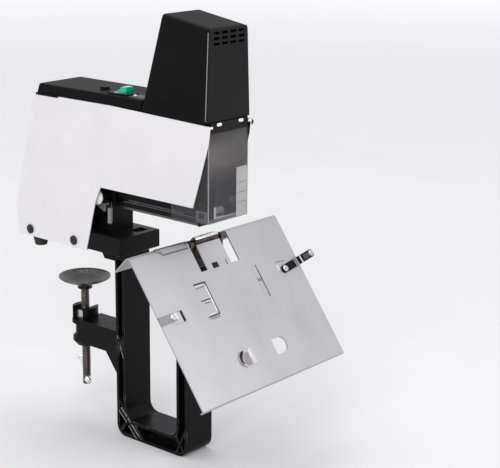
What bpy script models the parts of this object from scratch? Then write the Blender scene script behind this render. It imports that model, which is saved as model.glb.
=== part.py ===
"""Electric stapler with a desk clamp and a folding saddle table.

Units are metres, +Z is up. The front of the machine faces -Y and the origin
lies in the desk plane on the axis of the clamp screw.
"""
import math

import bmesh
import bpy
from mathutils import Matrix, Vector

# Fits
CLEARANCE = 0.0003
RUNNING = 0.0005
OVERRUN = 0.004

# Stations along the machine, from the clamp screw towards the front
CLAMP_REACH = 0.073
COLUMN_DEPTH = 0.0143
WINDOW_LENGTH = 0.0814
FRONT_COLUMN_DEPTH = 0.0163
ANVIL_OVERHANG = 0.0081
THROAT_DEPTH = 0.0991
NECK_SETBACK = 0.028
NECK_LENGTH = 0.056
HEAD_OVERHANG = 0.0369
HEAD_LENGTH = 0.3093
COLUMN_REAR_Y = -CLAMP_REACH
COLUMN_FRONT_Y = COLUMN_REAR_Y - COLUMN_DEPTH
FRONT_COLUMN_REAR_Y = COLUMN_FRONT_Y - WINDOW_LENGTH
FRONT_COLUMN_FRONT_Y = FRONT_COLUMN_REAR_Y - FRONT_COLUMN_DEPTH
STAPLE_Y = FRONT_COLUMN_FRONT_Y - ANVIL_OVERHANG
BLOCK_FRONT_Y = STAPLE_Y + THROAT_DEPTH
NECK_FRONT_Y = BLOCK_FRONT_Y + NECK_SETBACK
NECK_REAR_Y = NECK_FRONT_Y + NECK_LENGTH
PLATE_FRONT_Y = STAPLE_Y - HEAD_OVERHANG
PLATE_REAR_Y = PLATE_FRONT_Y + HEAD_LENGTH

# Levels, from the desk plane up
FOOT_HEIGHT = 0.011
BASE_PLATE_THICKNESS = 0.001
BLOCK_HEIGHT = 0.0211
THROAT_HEIGHT = 0.029
MAGAZINE_DROP = 0.0036
RAIL_HEIGHT = 0.0234
FLOOR_THICKNESS = 0.0015
SIDE_HEIGHT = 0.0958
FRONT_TOP_DROP = 0.0045
BLOCK_BOTTOM_Z = FOOT_HEIGHT + BASE_PLATE_THICKNESS + CLEARANCE
BLOCK_TOP_Z = BLOCK_BOTTOM_Z + BLOCK_HEIGHT
MAGAZINE_BOTTOM_Z = BLOCK_TOP_Z + THROAT_HEIGHT
RAIL_BOTTOM_Z = MAGAZINE_BOTTOM_Z + MAGAZINE_DROP
RAIL_TOP_Z = RAIL_BOTTOM_Z + RAIL_HEIGHT
FLOOR_BOTTOM_Z = RAIL_TOP_Z + CLEARANCE
BEAM_BOTTOM_Z = FLOOR_BOTTOM_Z + FLOOR_THICKNESS + CLEARANCE
PLATE_TOP_Z = FLOOR_BOTTOM_Z + SIDE_HEIGHT
PLATE_HEIGHT = PLATE_TOP_Z - FOOT_HEIGHT

# Widths
HEAD_WIDTH = 0.068
PLATE_THICKNESS = 0.0012
PLATE_INNER_X = HEAD_WIDTH / 2 - PLATE_THICKNESS
BODY_HALF = PLATE_INNER_X - CLEARANCE
NECK_HALF = 0.0165
RAIL_HALF = 0.012

# Side plate edges: shares of the head length and plate height, rear edge bottom to top
REAR_EDGE_SHARES = ((0.0123, 0.0), (0.0023, 0.1146), (0.0, 0.2269), (0.011, 0.2888),
                    (0.0504, 0.5215), (0.0753, 0.6848), (0.0915, 0.8063),
                    (0.1077, 0.926), (0.1254, 0.9857))
TOP_REAR_SHARE = 0.2434
TOP_LEVEL_SHARE = 0.5215
FRONT_RAKE = 0.0246
FRONT_EDGE_SHARES = ((0.0813, 0.8204), (0.252, 0.6473), (0.5447, 0.3801))
LEG_RAKE = 0.0252
LEG_INSET = 0.0013
LEG_EDGE_SHARES = ((0.345, 0.776), (0.62, 0.44), (0.853, 0.166))

# Side plate screws with round black caps
CAP_RADIUS = 0.0055
CAP_HEIGHT = 0.0026
CAP_SHANK_RADIUS = 0.0022
CAP_SHANK_LENGTH = 0.0055
CAP_LEVEL = 0.0085
CAP_REAR_INSET = 0.0237
CAP_SPACING_SHARE = 0.516
CAP_Z = FOOT_HEIGHT + CAP_LEVEL
CAP_REAR_Y = PLATE_REAR_Y - CAP_REAR_INSET
CAP_SPACING = (PLATE_REAR_Y - NECK_FRONT_Y) * CAP_SPACING_SHARE
CAP_STATIONS = (("rear", CAP_REAR_Y), ("front", CAP_REAR_Y - CAP_SPACING))

# Rear cover, base plate and feet
COVER_WALL = 0.0015
REAR_COVER_LIFT = 0.0012
BASE_PLATE_REAR_INSET = 0.0065
BASE_PLATE_FRONT_GAP = 0.028
FOOT_TOP_RADIUS = 0.0095
FOOT_BOTTOM_RADIUS = 0.0072
FOOT_SIDE_INSET = 0.0105
FOOT_HALF_SPACING = HEAD_WIDTH / 2 - FOOT_SIDE_INSET
FOOT_REAR_INSET = 0.0298
FOOT_Y = PLATE_REAR_Y - FOOT_REAR_INSET

# Base casting
BASE_REAR_INSET = 0.018
BASE_WALL = 0.0045
BASE_REAR_Y = PLATE_REAR_Y - BASE_REAR_INSET
PAD_LENGTH = 0.016
PAD_RAMP_LENGTH = 0.009
PAD_OVERLAP = 0.0017
BEAM_HEIGHT = 0.0265
BEAM_TOP_Z = BEAM_BOTTOM_Z + BEAM_HEIGHT
SLOT_LENGTH = 0.014
SLOT_WIDTH = 0.019
SLOT_DEPTH = 0.003
SLOT_OFFSET_X = 0.013
SLOT_SETBACK = 0.008

# Clamp frame casting
FRAME_WIDTH = 0.042
FRAME_DROP = 0.2116
BAR_HEIGHT = 0.022
OUTER_CORNER = 0.014
WINDOW_CORNER = 0.013
FLANGE = 0.0035
WEB = 0.015
RIB_WIDTH = 0.003
RIB_RECESS = 0.0005
FRAME_TOP_Z = BLOCK_BOTTOM_Z - CLEARANCE
POCKET_TOP_DROP = 0.008
CORNER_STEPS = 5

# Clamp arm and boss
ARM_WIDTH = 0.035
ARM_TOP_DROP = 0.085
ARM_HEIGHT = 0.029
GUSSET_LENGTH = 0.0213
GUSSET_DROP = 0.028
BOSS_RADIUS = 0.0155
BOSS_TOP_DROP = 0.0725
BOSS_HEIGHT = 0.0485
BOSS_SHARES = ((1.0, 0.0), (1.0, 0.31), (1.06, 0.36), (1.06, 0.41), (0.78, 0.47),
               (0.78, 0.71), (1.0, 0.78), (1.0, 0.88), (0.7, 1.0))
NUT_WIDTH = 0.0162
NUT_HEIGHT = 0.0105
NUT_FLOOR_DROP = 0.0155
BOSS_BORE_RADIUS = 0.0056

# Clamp screw, pad and tommy bar
SCREW_RADIUS = 0.0048
SCREW_PITCH = 0.0015
SCREW_BOTTOM_DROP = 0.172
JAW_GAP = 0.0347
PAD_RADIUS = 0.031
PAD_DEPTH = 0.006
PAD_THICKNESS = 0.0016
HUB_RADIUS = 0.0088
HUB_DROP = 0.0155
PAD_DISH_SHARES = ((0.35, 0.08), (0.7, 0.35), (0.9, 0.7), (1.0, 1.0))
SOCKET_DEPTH = 0.0085
TOMMY_DROP = 0.163
TOMMY_RADIUS = 0.0025
TOMMY_BALL_RADIUS = 0.0044
TOMMY_NEAR = 0.013
TOMMY_FAR = 0.067
TOMMY_SOCKET = 0.0028
TOMMY_ANGLE_DEG = 53.13

# Arm rail, magazine, staples and follower
RAIL_WALL = 0.003
RAIL_ROOF = 0.006
GROOVE_LEVEL = 0.0065
GROOVE_HEIGHT = 0.003
GROOVE_DEPTH = 0.0015
GROOVE_LENGTH = 0.106
MAGAZINE_WALL = 0.0008
MAGAZINE_HEIGHT = 0.0176
MAGAZINE_SETBACK = 0.004
DRIVE_GAP = 0.0011
NOSE_THICKNESS = 0.004
NOSE_HALF = 0.011
NOSE_SLOT_DEPTH = 0.0017
NOSE_CHAMFER = 0.0022
STAPLE_WIDTH = 0.0126
STAPLE_LEG = 0.008
STAPLE_WIRE = 0.0007
STRIP_LENGTH = 0.0816
FOLLOWER_LENGTH = 0.012
FOLLOWER_HEIGHT = 0.0095
FOLLOWER_STROKE = 0.02
FOLLOWER_SPRING_RADIUS = 0.0035
FOLLOWER_WIRE = 0.0007
FOLLOWER_COILS = 8

# Driver head, solenoid and blade
HEAD_BLOCK_INSET = 0.0065
HEAD_BLOCK_HALF = BODY_HALF - HEAD_BLOCK_INSET
HEAD_BLOCK_FRONT = 0.0219
HEAD_BLOCK_REAR = 0.0328
HEAD_BLOCK_HEIGHT = 0.0865
HEAD_BLOCK_TOP_Z = BEAM_BOTTOM_Z + HEAD_BLOCK_HEIGHT
FLOOR_INSET = 0.0027
FLOOR_HALF = BODY_HALF - FLOOR_INSET
FLOOR_FRONT = 0.0109
BLADE_HALF = 0.006
BLADE_THICKNESS = 0.001
DRIVER_STROKE = 0.0136
BLADE_BOTTOM_Z = MAGAZINE_BOTTOM_Z + DRIVER_STROKE
BLADE_LENGTH = 0.084
PLUNGER_RADIUS = 0.007
PLUNGER_GRIP = 0.011
PLUNGER_LENGTH = 0.12
PLUNGER_FLANGE_RADIUS = 0.011
PLUNGER_FLANGE_HEIGHT = 0.004
PLUNGER_WELL = 0.006
DRIVER_TOP_Z = (BLADE_BOTTOM_Z + BLADE_LENGTH - PLUNGER_GRIP + PLUNGER_LENGTH
                + PLUNGER_FLANGE_HEIGHT)
YOKE_HALF = 0.022
YOKE_HALF_DEPTH = 0.017
YOKE_HEIGHT = 0.068
YOKE_BRIDGE = 0.006
YOKE_WALL = 0.0045
COIL_RADIUS = 0.0168
SPRING_RADIUS = 0.009
SPRING_WIRE = 0.001
SPRING_COILS = 6
SPRING_STEPS = 8

# Covers
COVER_INSET = 0.001
COVER_HALF = HEAD_WIDTH / 2 - COVER_INSET
COVER_HEIGHT = 0.0117
COVER_REAR_OVERLAP = 0.0398
COVER_REAR_SLOPE = 0.0045
COVER_SHELL = 0.002
COVER_ROUND = 0.0022
COVER_BOTTOM_Z = PLATE_TOP_Z + CLEARANCE
COVER_TOP_Z = COVER_BOTTOM_Z + COVER_HEIGHT
TOWER_LENGTH = 0.0976
TOWER_SETBACK = 0.0034
TOWER_OVERHANG = 0.00025
TOWER_TAPER = 0.0046
TOWER_HEADROOM = 0.021
TOWER_TOP_FALL = 0.0072
TOWER_HALF_BASE = HEAD_WIDTH / 2 + TOWER_OVERHANG
TOWER_HALF_TOP = TOWER_HALF_BASE - TOWER_TAPER
TOWER_REAR_HEIGHT = DRIVER_TOP_Z + TOWER_HEADROOM - PLATE_TOP_Z
TOWER_FRONT_HEIGHT = TOWER_REAR_HEIGHT - TOWER_TOP_FALL
TOWER_REAR_LEAN = 0.028
TOWER_WALL = 0.002
TOWER_ROUND = 0.004
PANEL_THICKNESS = 0.0023
PANEL_LIFT = 0.0028
TOWER_FRONT_Y = PLATE_FRONT_Y + TOWER_SETBACK
TOWER_SHELL_FRONT_Y = TOWER_FRONT_Y + PANEL_THICKNESS + CLEARANCE
TOWER_REAR_Y = TOWER_FRONT_Y + TOWER_LENGTH
VENT_PITCH_SHARE = 0.445
VENT_WIDTH_SHARE = 0.72
VENT_PITCH_X = TOWER_HALF_TOP * VENT_PITCH_SHARE
VENT_WIDTH = VENT_PITCH_X * VENT_WIDTH_SHARE
VENT_HEIGHT = 0.0027
VENT_PITCH_Z = 0.0057
VENT_TOP_DROP = 0.0048
VENT_ROWS = 3
VENT_COLUMNS = 4

# Power rocker and force knob on the top cover
ROCKER_SIDE_INSET = 0.014
ROCKER_X = ROCKER_SIDE_INSET - COVER_HALF
ROCKER_FROM_TOWER = 0.0408
ROCKER_Y = TOWER_REAR_Y + ROCKER_FROM_TOWER
ROCKER_HALF_WIDTH = 0.006
ROCKER_HALF_LENGTH = 0.011
ROCKER_RISE = 0.0052
ROCKER_DIP = 0.0028
ROCKER_DEPTH = 0.0035
ROCKER_TILT_DEG = 9.0
ROCKER_OUTLINE_SHARES = ((-1.0, -0.35), (-0.97, 0.55), (0.0, 0.0), (0.97, 0.55),
                         (1.0, -0.35), (0.5, -1.0), (-0.5, -1.0))
BEZEL_LIP = 0.0028
BEZEL_LIP_HEIGHT = 0.0014
BEZEL_WALL = 0.0015
BEZEL_DEPTH = 0.016
KNOB_FROM_ROCKER_X = 0.009
KNOB_X = ROCKER_X + KNOB_FROM_ROCKER_X
KNOB_FROM_ROCKER = 0.038
KNOB_Y = ROCKER_Y + KNOB_FROM_ROCKER
KNOB_RADIUS = 0.0056
KNOB_HEIGHT = 0.0032
KNOB_SHAFT_RADIUS = 0.003
KNOB_SHAFT_LENGTH = 0.009
KNOB_SLOT_WIDTH = 0.0014
KNOB_SLOT_SHARE = 0.7
KNOB_SLOT_LEVEL_SHARE = 0.6
KNOB_TOP_SHARE = 0.9
KNOB_EDGE_SHARE = 0.75

# Guard and its hinge
GUARD_SIDE_GAP = 0.0004
GUARD_HALF = PLATE_INNER_X - GUARD_SIDE_GAP
GUARD_WALL = 0.002
GUARD_FRONT_INSET = 0.004
GUARD_DEPTH = 0.054
GUARD_DROP = 0.0157
GUARD_BOTTOM_Z = FLOOR_BOTTOM_Z - GUARD_DROP
GUARD_LIP = 0.006
GUARD_ROUND = 0.0035
GUARD_EAR = 0.007
HINGE_INSET = 0.0055
HINGE_DROP = 0.009
HINGE_Y = PLATE_FRONT_Y + HINGE_INSET
HINGE_Z = PLATE_TOP_Z - HINGE_DROP
HINGE_ROD_RADIUS = 0.002
HINGE_HEAD_RADIUS = 0.0035
HINGE_HEAD_LENGTH = 0.0052
HINGE_BLOCK_INSET = 0.0027
HINGE_BLOCK_HALF = BODY_HALF - HINGE_BLOCK_INSET
HINGE_BLOCK_DROP = 0.0035
HINGE_BLOCK_RISE = 0.0072
HINGE_BLOCK_FRONT = 0.0033
GUARD_FRONT_TOP_GAP = 0.0053
CLIP_WIDTH = 0.0056
CLIP_HEIGHT = 0.0045
CLIP_THICKNESS = 0.0012
CLIP_HALF_SPACING = 0.0175

# Depth stop with its lock knob and hanging stop pin
STOP_PLATE = 0.003
STOP_LENGTH = 0.024
STOP_BOTTOM_LIFT = 0.0006
STOP_HEIGHT = 0.0184
POCKET_MARGIN = 0.0015
STOP_KNOB_RADIUS = 0.009
STOP_KNOB_LENGTH = 0.0115
STOP_KNOB_SETBACK = 0.0135
STOP_KNOB_RISE = 0.0098
STOP_STUD_RADIUS = 0.0025
STOP_STUD_LENGTH = 0.002
STOP_LEAD = 0.0025
LUG_WIDTH = 0.0084
LUG_LENGTH = 0.0073
LUG_HEIGHT = 0.0075
LUG_SLOT = 0.0036
TANG_THICKNESS = 0.003
PIN_RADIUS = 0.00285
PIN_LENGTH = 0.024
PIN_AXLE_RADIUS = 0.001
PIN_HEAD_GAP = 0.001
STOP_KNOB_SHARES = ((0.78, 1.0), (0.92, 0.94), (1.0, 0.8), (1.0, 0.25), (0.9, 0.15),
                    (0.9, 0.0))

# Saddle table
TABLE_WIDTH = 0.24
TABLE_FRONT = 0.1805
TABLE_FLANGE = 0.028
TABLE_SHEET = 0.0015
TABLE_ANGLE_DEG = 53.9
FLANGE_ANGLE_DEG = 46.0
TABLE_AXIS_DROP = 0.0072
RIDGE_ABOVE_BLOCK = 0.0188
RIDGE_Z = BLOCK_TOP_Z + RIDGE_ABOVE_BLOCK
TABLE_AXIS_Z = RIDGE_Z - TABLE_AXIS_DROP
RIDGE_BEND = 0.004
RIDGE_STEPS = 4
TABLE_LIP = 0.005
LIP_BEND = 0.0022
SADDLE_LEFT = 0.0315
SADDLE_RIGHT = 0.0315
TONGUE_LEFT = 0.0203
TONGUE_RIGHT = 0.0175
TONGUE_START = 0.0093
TABLE_SLOT_END = 0.0395
PIVOT_PIN_RADIUS = 0.0015
EAR_RADIUS = 0.004
EAR_THICKNESS = 0.0015

# Openings and pressed forms of the table: across from the centre, down from the ridge
SQUARE_HOLE_WIDTH = 0.0096
SQUARE_HOLE_LENGTH = 0.0064
SQUARE_HOLE_X = -0.007
SQUARE_HOLE_S = 0.0366
SLIT = 0.0012
SLIT_X = 0.0113
BRIDGE_X = -0.0428
BRIDGE_WIDTH = 0.0185
BRIDGE_S = 0.0505
BRIDGE_SPAN = 0.039
BRIDGE_COUNT = 3
RIGHT_SLIT_X = 0.0505
GUIDE_SLOT_X = -0.08585
GUIDE_SLOT_WIDTH = 0.0037
GUIDE_SLOT_S = 0.072
GUIDE_SLOT_LENGTH = 0.012
HOLE_LEFT_X = 0.0195
HOLE_WIDTH = 0.0205
HOLE_RADIUS = 0.00925
HOLE_S = 0.14425
TAB_RISE = 0.0015

# Anvil
ANVIL_HALF = 0.0185
ANVIL_DROP = 0.0005
ANVIL_TOP_HALF = 0.0017
ANVIL_NOSE = 0.0029
ANVIL_NOSE_DROP = 0.0018
ANVIL_NOSE_HEIGHT = 0.013
LUG_INNER_X = 0.0222
LUG_OUTER_X = 0.0272
LUG_ROUND = 0.0046
LUG_FOOT_HEIGHT = 0.010
LUG_FOOT_DROP = 0.010
LUG_POST_SHARE = 0.95
INSERT_HALF = 0.012
INSERT_DEPTH = 0.0045
INSERT_THICKNESS = 0.0026

# Side guides of the table
GUIDE_THICKNESS = 0.0016
GUIDE_WIDTH = 0.0095
GUIDE_END_SHARE = 0.95
LEFT_GUIDE_LENGTH = 0.0255
LEFT_GUIDE_X = -0.101
LEFT_GUIDE_S = 0.0765
RIGHT_GUIDE_X = 0.0925
RIGHT_GUIDE_S = 0.0659
RIGHT_GUIDE_ANGLE_DEG = 8.2
RIGHT_GUIDE_LENGTH = 0.0565
RIGHT_GUIDE_STEP = 0.005
RIGHT_GUIDE_STEP_AT = 0.026
RIVET_RADIUS = 0.0022
RIVET_HEAD_RADIUS = 0.0038
RIVET_HEAD_HEIGHT = 0.0012
RIVET_TOP_SHARE = 0.8

# Circuit board and power inlet
BOARD_THICKNESS = 0.0016
BOARD_HEIGHT = 0.085
BOARD_PART_HEIGHT = 0.0144
BOARD_START_SHARE = 0.11
BOARD_LENGTH_SHARE = 0.69
BOARD_PART_SHARES = ((0.1, 0.1, 0.45, 0.4, 1.0), (0.55, 0.12, 0.85, 0.3, 0.78),
                     (0.2, 0.6, 0.4, 0.85, 0.56), (0.6, 0.55, 0.8, 0.8, 0.67))
INLET_WIDTH = 0.027
INLET_HEIGHT = 0.0195
INLET_DEPTH = 0.017
INLET_LEVEL = 0.030
INLET_FLANGE = 0.0025
INLET_FLANGE_THICKNESS = 0.0014
INLET_WALL = 0.002
INLET_PIN_WIDTH = 0.002
INLET_PIN_HEIGHT = 0.004
INLET_PIN_LENGTH = 0.010
INLET_PIN_PITCH = 0.007

ROUND_SEGMENTS = 28
SMALL_SEGMENTS = 16
SMOOTH_ANGLE = math.radians(32)

for existing in list(bpy.data.objects):
    bpy.data.objects.remove(existing, do_unlink=True)

parts = bpy.data.collections.new("electric_stapler")
cutters = bpy.data.collections.new("cutters")
bpy.context.scene.collection.children.link(parts)
bpy.context.scene.collection.children.link(cutters)


def material(name, colour, roughness, metallic):
    made = bpy.data.materials.new(name)
    made.use_nodes = True
    shader = made.node_tree.nodes["Principled BSDF"]
    shader.inputs["Base Color"].default_value = (*colour, 1.0)
    shader.inputs["Roughness"].default_value = roughness
    shader.inputs["Metallic"].default_value = metallic
    made.diffuse_color = (*colour, 1.0)
    return made


LOOKS = {
    "white_paint": ((0.83, 0.80, 0.83), 0.45, 0.0),
    "grey_paint": ((0.55, 0.55, 0.57), 0.5, 0.0),
    "black_casting": ((0.014, 0.014, 0.016), 0.32, 0.0),
    "black_plastic": ((0.02, 0.018, 0.02), 0.4, 0.0),
    "black_rubber": ((0.02, 0.02, 0.02), 0.8, 0.0),
    "white_plastic": ((0.75, 0.75, 0.74), 0.4, 0.0),
    "green_plastic": ((0.0, 0.28, 0.16), 0.25, 0.0),
    "smoky_clear": ((0.25, 0.25, 0.26), 0.1, 0.0),
    "table_steel": ((0.56, 0.56, 0.58), 0.35, 1.0),
    "bright_steel": ((0.72, 0.71, 0.70), 0.25, 1.0),
    "dark_steel": ((0.16, 0.15, 0.15), 0.35, 1.0),
    "copper_tape": ((0.45, 0.22, 0.09), 0.5, 0.3),
    "board_green": ((0.02, 0.12, 0.05), 0.5, 0.0),
}


def add_object(name, mesh, look=None):
    made = bpy.data.objects.new(name, mesh)
    if look is None:
        cutters.objects.link(made)
        made.hide_render = True
        made.display_type = "WIRE"
    else:
        parts.objects.link(made)
        colour, roughness, metallic = LOOKS[look]
        mesh.materials.append(material(name, colour, roughness, metallic))
    return made


def from_bmesh(name, shape, look):
    bmesh.ops.recalc_face_normals(shape, faces=shape.faces)
    mesh = bpy.data.meshes.new(name)
    shape.to_mesh(mesh)
    shape.free()
    return add_object(name, mesh, look)


def smooth(target):
    target.data.shade_smooth()
    target.data.set_sharp_from_angle(angle=SMOOTH_ANGLE)
    return target


def block(name, low, high, look=None):
    """Rectangular block between two corners."""
    low, high = Vector(low), Vector(high)
    shape = bmesh.new()
    size = high - low
    bmesh.ops.create_cube(shape, size=1.0)
    bmesh.ops.transform(shape, verts=shape.verts,
                        matrix=Matrix.Translation((low + high) / 2)
                        @ Matrix.Diagonal((*size, 1.0)))
    return from_bmesh(name, shape, look)


def frustum(name, corners, look=None, open_faces=()):
    """Cube whose eight corners are placed; open_faces lists (axis, side) to leave open."""
    shape = bmesh.new()
    bmesh.ops.create_cube(shape, size=1.0)
    drop = [face for face in shape.faces
            for axis, side in open_faces
            if face.normal[axis] * side > 1 - SMOOTH_ANGLE]
    for vert in shape.verts:
        key = tuple(1 if value > 0 else 0 for value in vert.co)
        vert.co = Vector(corners[key])
    if drop:
        bmesh.ops.delete(shape, geom=drop, context="FACES")
        mesh = bpy.data.meshes.new(name)
        shape.to_mesh(mesh)
        shape.free()
        return add_object(name, mesh, look)
    return from_bmesh(name, shape, look)


def rod(name, start, end, radius, look=None, end_radius=None, segments=ROUND_SEGMENTS):
    """Round bar or cone from one point to another."""
    start, end = Vector(start), Vector(end)
    along = end - start
    shape = bmesh.new()
    bmesh.ops.create_cone(shape, cap_ends=True, segments=segments, radius1=radius,
                          radius2=radius if end_radius is None else end_radius,
                          depth=along.length)
    turn = along.to_track_quat("Z", "Y").to_matrix().to_4x4()
    bmesh.ops.transform(shape, verts=shape.verts,
                        matrix=Matrix.Translation((start + end) / 2) @ turn)
    return smooth(from_bmesh(name, shape, look))


def ball(name, centre, radius, look=None, segments=SMALL_SEGMENTS):
    shape = bmesh.new()
    bmesh.ops.create_uvsphere(shape, u_segments=segments, v_segments=segments // 2,
                              radius=radius, matrix=Matrix.Translation(Vector(centre)))
    return smooth(from_bmesh(name, shape, look))


def rounded(points, radii, steps=CORNER_STEPS):
    """Outline with an arc in place of each corner; radii is one value or one per corner."""
    if not isinstance(radii, (list, tuple)):
        radii = [radii] * len(points)
    made = []
    for index, point in enumerate(points):
        radius = radii[index]
        here = Vector(point)
        before = Vector(points[index - 1]) - here
        after = Vector(points[(index + 1) % len(points)]) - here
        if radius == 0 or before.angle(after) > math.pi - math.radians(1):
            made.append(tuple(here))
            continue
        half = before.angle(after) / 2
        reach = min(radius / math.tan(half), before.length / 2, after.length / 2)
        radius = reach * math.tan(half)
        centre = here + (before.normalized() + after.normalized()).normalized() \
            * (radius / math.sin(half))
        first = here + before.normalized() * reach - centre
        last = here + after.normalized() * reach - centre
        swing = first.angle_signed(last)
        for step in range(steps + 1):
            turned = first.copy()
            turned.rotate(Matrix.Rotation(-swing * step / steps, 2))
            made.append(tuple(centre + turned))
    return made


AXES = {
    "X": Matrix(((0, 0, 1), (1, 0, 0), (0, 1, 0))),
    "Y": Matrix(((1, 0, 0), (0, 0, -1), (0, 1, 0))),
    "Z": Matrix(((1, 0, 0), (0, 1, 0), (0, 0, 1))),
}


def prism(name, outline, axis, low, high, look=None):
    """Flat outline given thickness along an axis.

    The outline holds (y, z) for X, (x, z) for Y and (x, y) for Z.
    """
    curve = bpy.data.curves.new(name, "CURVE")
    curve.dimensions = "2D"
    curve.fill_mode = "BOTH"
    curve.extrude = (high - low) / 2
    spline = curve.splines.new("POLY")
    spline.points.add(len(outline) - 1)
    for point, place in zip(spline.points, outline):
        point.co = (place[0], place[1], 0.0, 1.0)
    spline.use_cyclic_u = True
    drawn = bpy.data.objects.new(name + "_outline", curve)
    cutters.objects.link(drawn)
    bpy.context.view_layer.update()
    mesh = bpy.data.meshes.new_from_object(
        drawn.evaluated_get(bpy.context.evaluated_depsgraph_get()))
    bpy.data.objects.remove(drawn, do_unlink=True)
    shape = bmesh.new()
    shape.from_mesh(mesh)
    bmesh.ops.remove_doubles(shape, verts=shape.verts, dist=CLEARANCE / 10)
    centre = (low + high) / 2
    shift = Vector((centre, 0, 0)) if axis == "X" else (
        Vector((0, centre, 0)) if axis == "Y" else Vector((0, 0, centre)))
    bmesh.ops.transform(shape, verts=shape.verts,
                        matrix=Matrix.Translation(shift) @ AXES[axis].to_4x4())
    bpy.data.meshes.remove(mesh)
    return from_bmesh(name, shape, look)


def turned(name, profile, centre, look=None, steps=ROUND_SEGMENTS, axis="Z"):
    """Revolved profile of (radius, height), outer side running from top to bottom."""
    mesh = bpy.data.meshes.new(name)
    shape = bmesh.new()
    verts = [shape.verts.new((radius, 0, height)) for radius, height in profile]
    for first, second in zip(verts, verts[1:]):
        shape.edges.new((first, second))
    shape.to_mesh(mesh)
    shape.free()
    made = add_object(name, mesh, look)
    screw = made.modifiers.new("turn", "SCREW")
    screw.steps = steps
    screw.render_steps = steps
    screw.use_merge_vertices = True
    screw.merge_threshold = CLEARANCE / 10
    screw.use_smooth_shade = False
    made.location = centre
    if axis == "X":
        made.rotation_euler = (0, math.pi / 2, 0)
    elif axis == "-X":
        made.rotation_euler = (0, -math.pi / 2, 0)
    return made


def boolean(target, other, operation):
    change = target.modifiers.new(operation.lower(), "BOOLEAN")
    change.operation = operation
    change.object = other
    change.solver = "EXACT"
    return target


def cut(target, *others):
    for other in others:
        boolean(target, other, "DIFFERENCE")
    return target


def join(target, *others):
    for other in others:
        boolean(target, other, "UNION")
    return target


def bevel(target, width, segments=2, angle=SMOOTH_ANGLE):
    change = target.modifiers.new("edges", "BEVEL")
    change.width = width
    change.segments = segments
    change.limit_method = "ANGLE"
    change.angle_limit = angle
    change.use_clamp_overlap = True
    return target


def shell(target, thickness, offset=-1.0):
    change = target.modifiers.new("wall", "SOLIDIFY")
    change.thickness = thickness
    change.offset = offset
    change.use_even_offset = True
    return target


def pivot(target, place):
    """Moves the origin to a joint's axis and leaves the shape where it is."""
    place = Vector(place)
    target.data.transform(Matrix.Translation(-place))
    target.location = place
    return target


def helix(name, centre, axis, radius, wire, length, coils, look):
    """Compression spring as one unbroken tube."""
    curve = bpy.data.curves.new(name, "CURVE")
    curve.dimensions = "3D"
    curve.bevel_depth = wire / 2
    curve.bevel_resolution = 1
    curve.use_fill_caps = True
    spline = curve.splines.new("POLY")
    count = coils * SPRING_STEPS + 1
    spline.points.add(count - 1)
    rise = length - wire
    for index, point in enumerate(spline.points):
        angle = 2 * math.pi * index / SPRING_STEPS
        along = -rise / 2 + rise * index / (count - 1)
        ring = Vector((radius * math.cos(angle), radius * math.sin(angle), along))
        if axis == "Y":
            ring = Vector((ring.x, ring.z, ring.y))
        point.co = (*ring, 1.0)
    made = bpy.data.objects.new(name, curve)
    made.location = centre
    parts.objects.link(made)
    colour, roughness, metallic = LOOKS[look]
    curve.materials.append(material(name, colour, roughness, metallic))
    print(name, "least gap between coils", round(rise / coils - wire, 5))
    return made


# Clamp frame: a U of channel section with a window, ribs and a clamp arm
frame_half = FRAME_WIDTH / 2
bar_bottom_z = -FRAME_DROP
bar_top_z = bar_bottom_z + BAR_HEIGHT


def channel(inset, top_z):
    """Outline of the U, drawn in from its faces by inset and up to a level."""
    outer_y = (COLUMN_REAR_Y - inset, FRONT_COLUMN_FRONT_Y + inset)
    window_y = (FRONT_COLUMN_REAR_Y - inset, COLUMN_FRONT_Y + inset)
    low_z, high_z = bar_bottom_z + inset, bar_top_z - inset
    corners = [(outer_y[0], top_z), (outer_y[0], low_z), (outer_y[1], low_z),
               (outer_y[1], top_z), (window_y[0], top_z), (window_y[0], high_z),
               (window_y[1], high_z), (window_y[1], top_z)]
    outer_round, inner_round = OUTER_CORNER - inset, WINDOW_CORNER + inset
    return rounded(corners, [0, outer_round, outer_round, 0, 0, inner_round, inner_round, 0])


frame_casting = prism("frame_casting", channel(0, FRAME_TOP_Z), "X", -frame_half, frame_half,
                      "black_casting")
pocket_outline = channel(FLANGE, FRAME_TOP_Z - POCKET_TOP_DROP)
for side in (-1, 1):
    inner, outer = sorted((side * WEB / 2, side * (frame_half + OVERRUN)))
    cut(frame_casting, prism(f"frame_pocket_{side}", pocket_outline, "X", inner, outer))


def rib(name, start, end):
    """Straight rib across the channel, between two points of the side view."""
    start, end = Vector(start), Vector(end)
    across = (end - start).normalized().orthogonal() * RIB_WIDTH / 2
    points = [tuple(start + across), tuple(end + across),
              tuple(end - across), tuple(start - across)]
    reach = frame_half - RIB_RECESS
    return prism(name, points, "X", -reach, reach)


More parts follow.
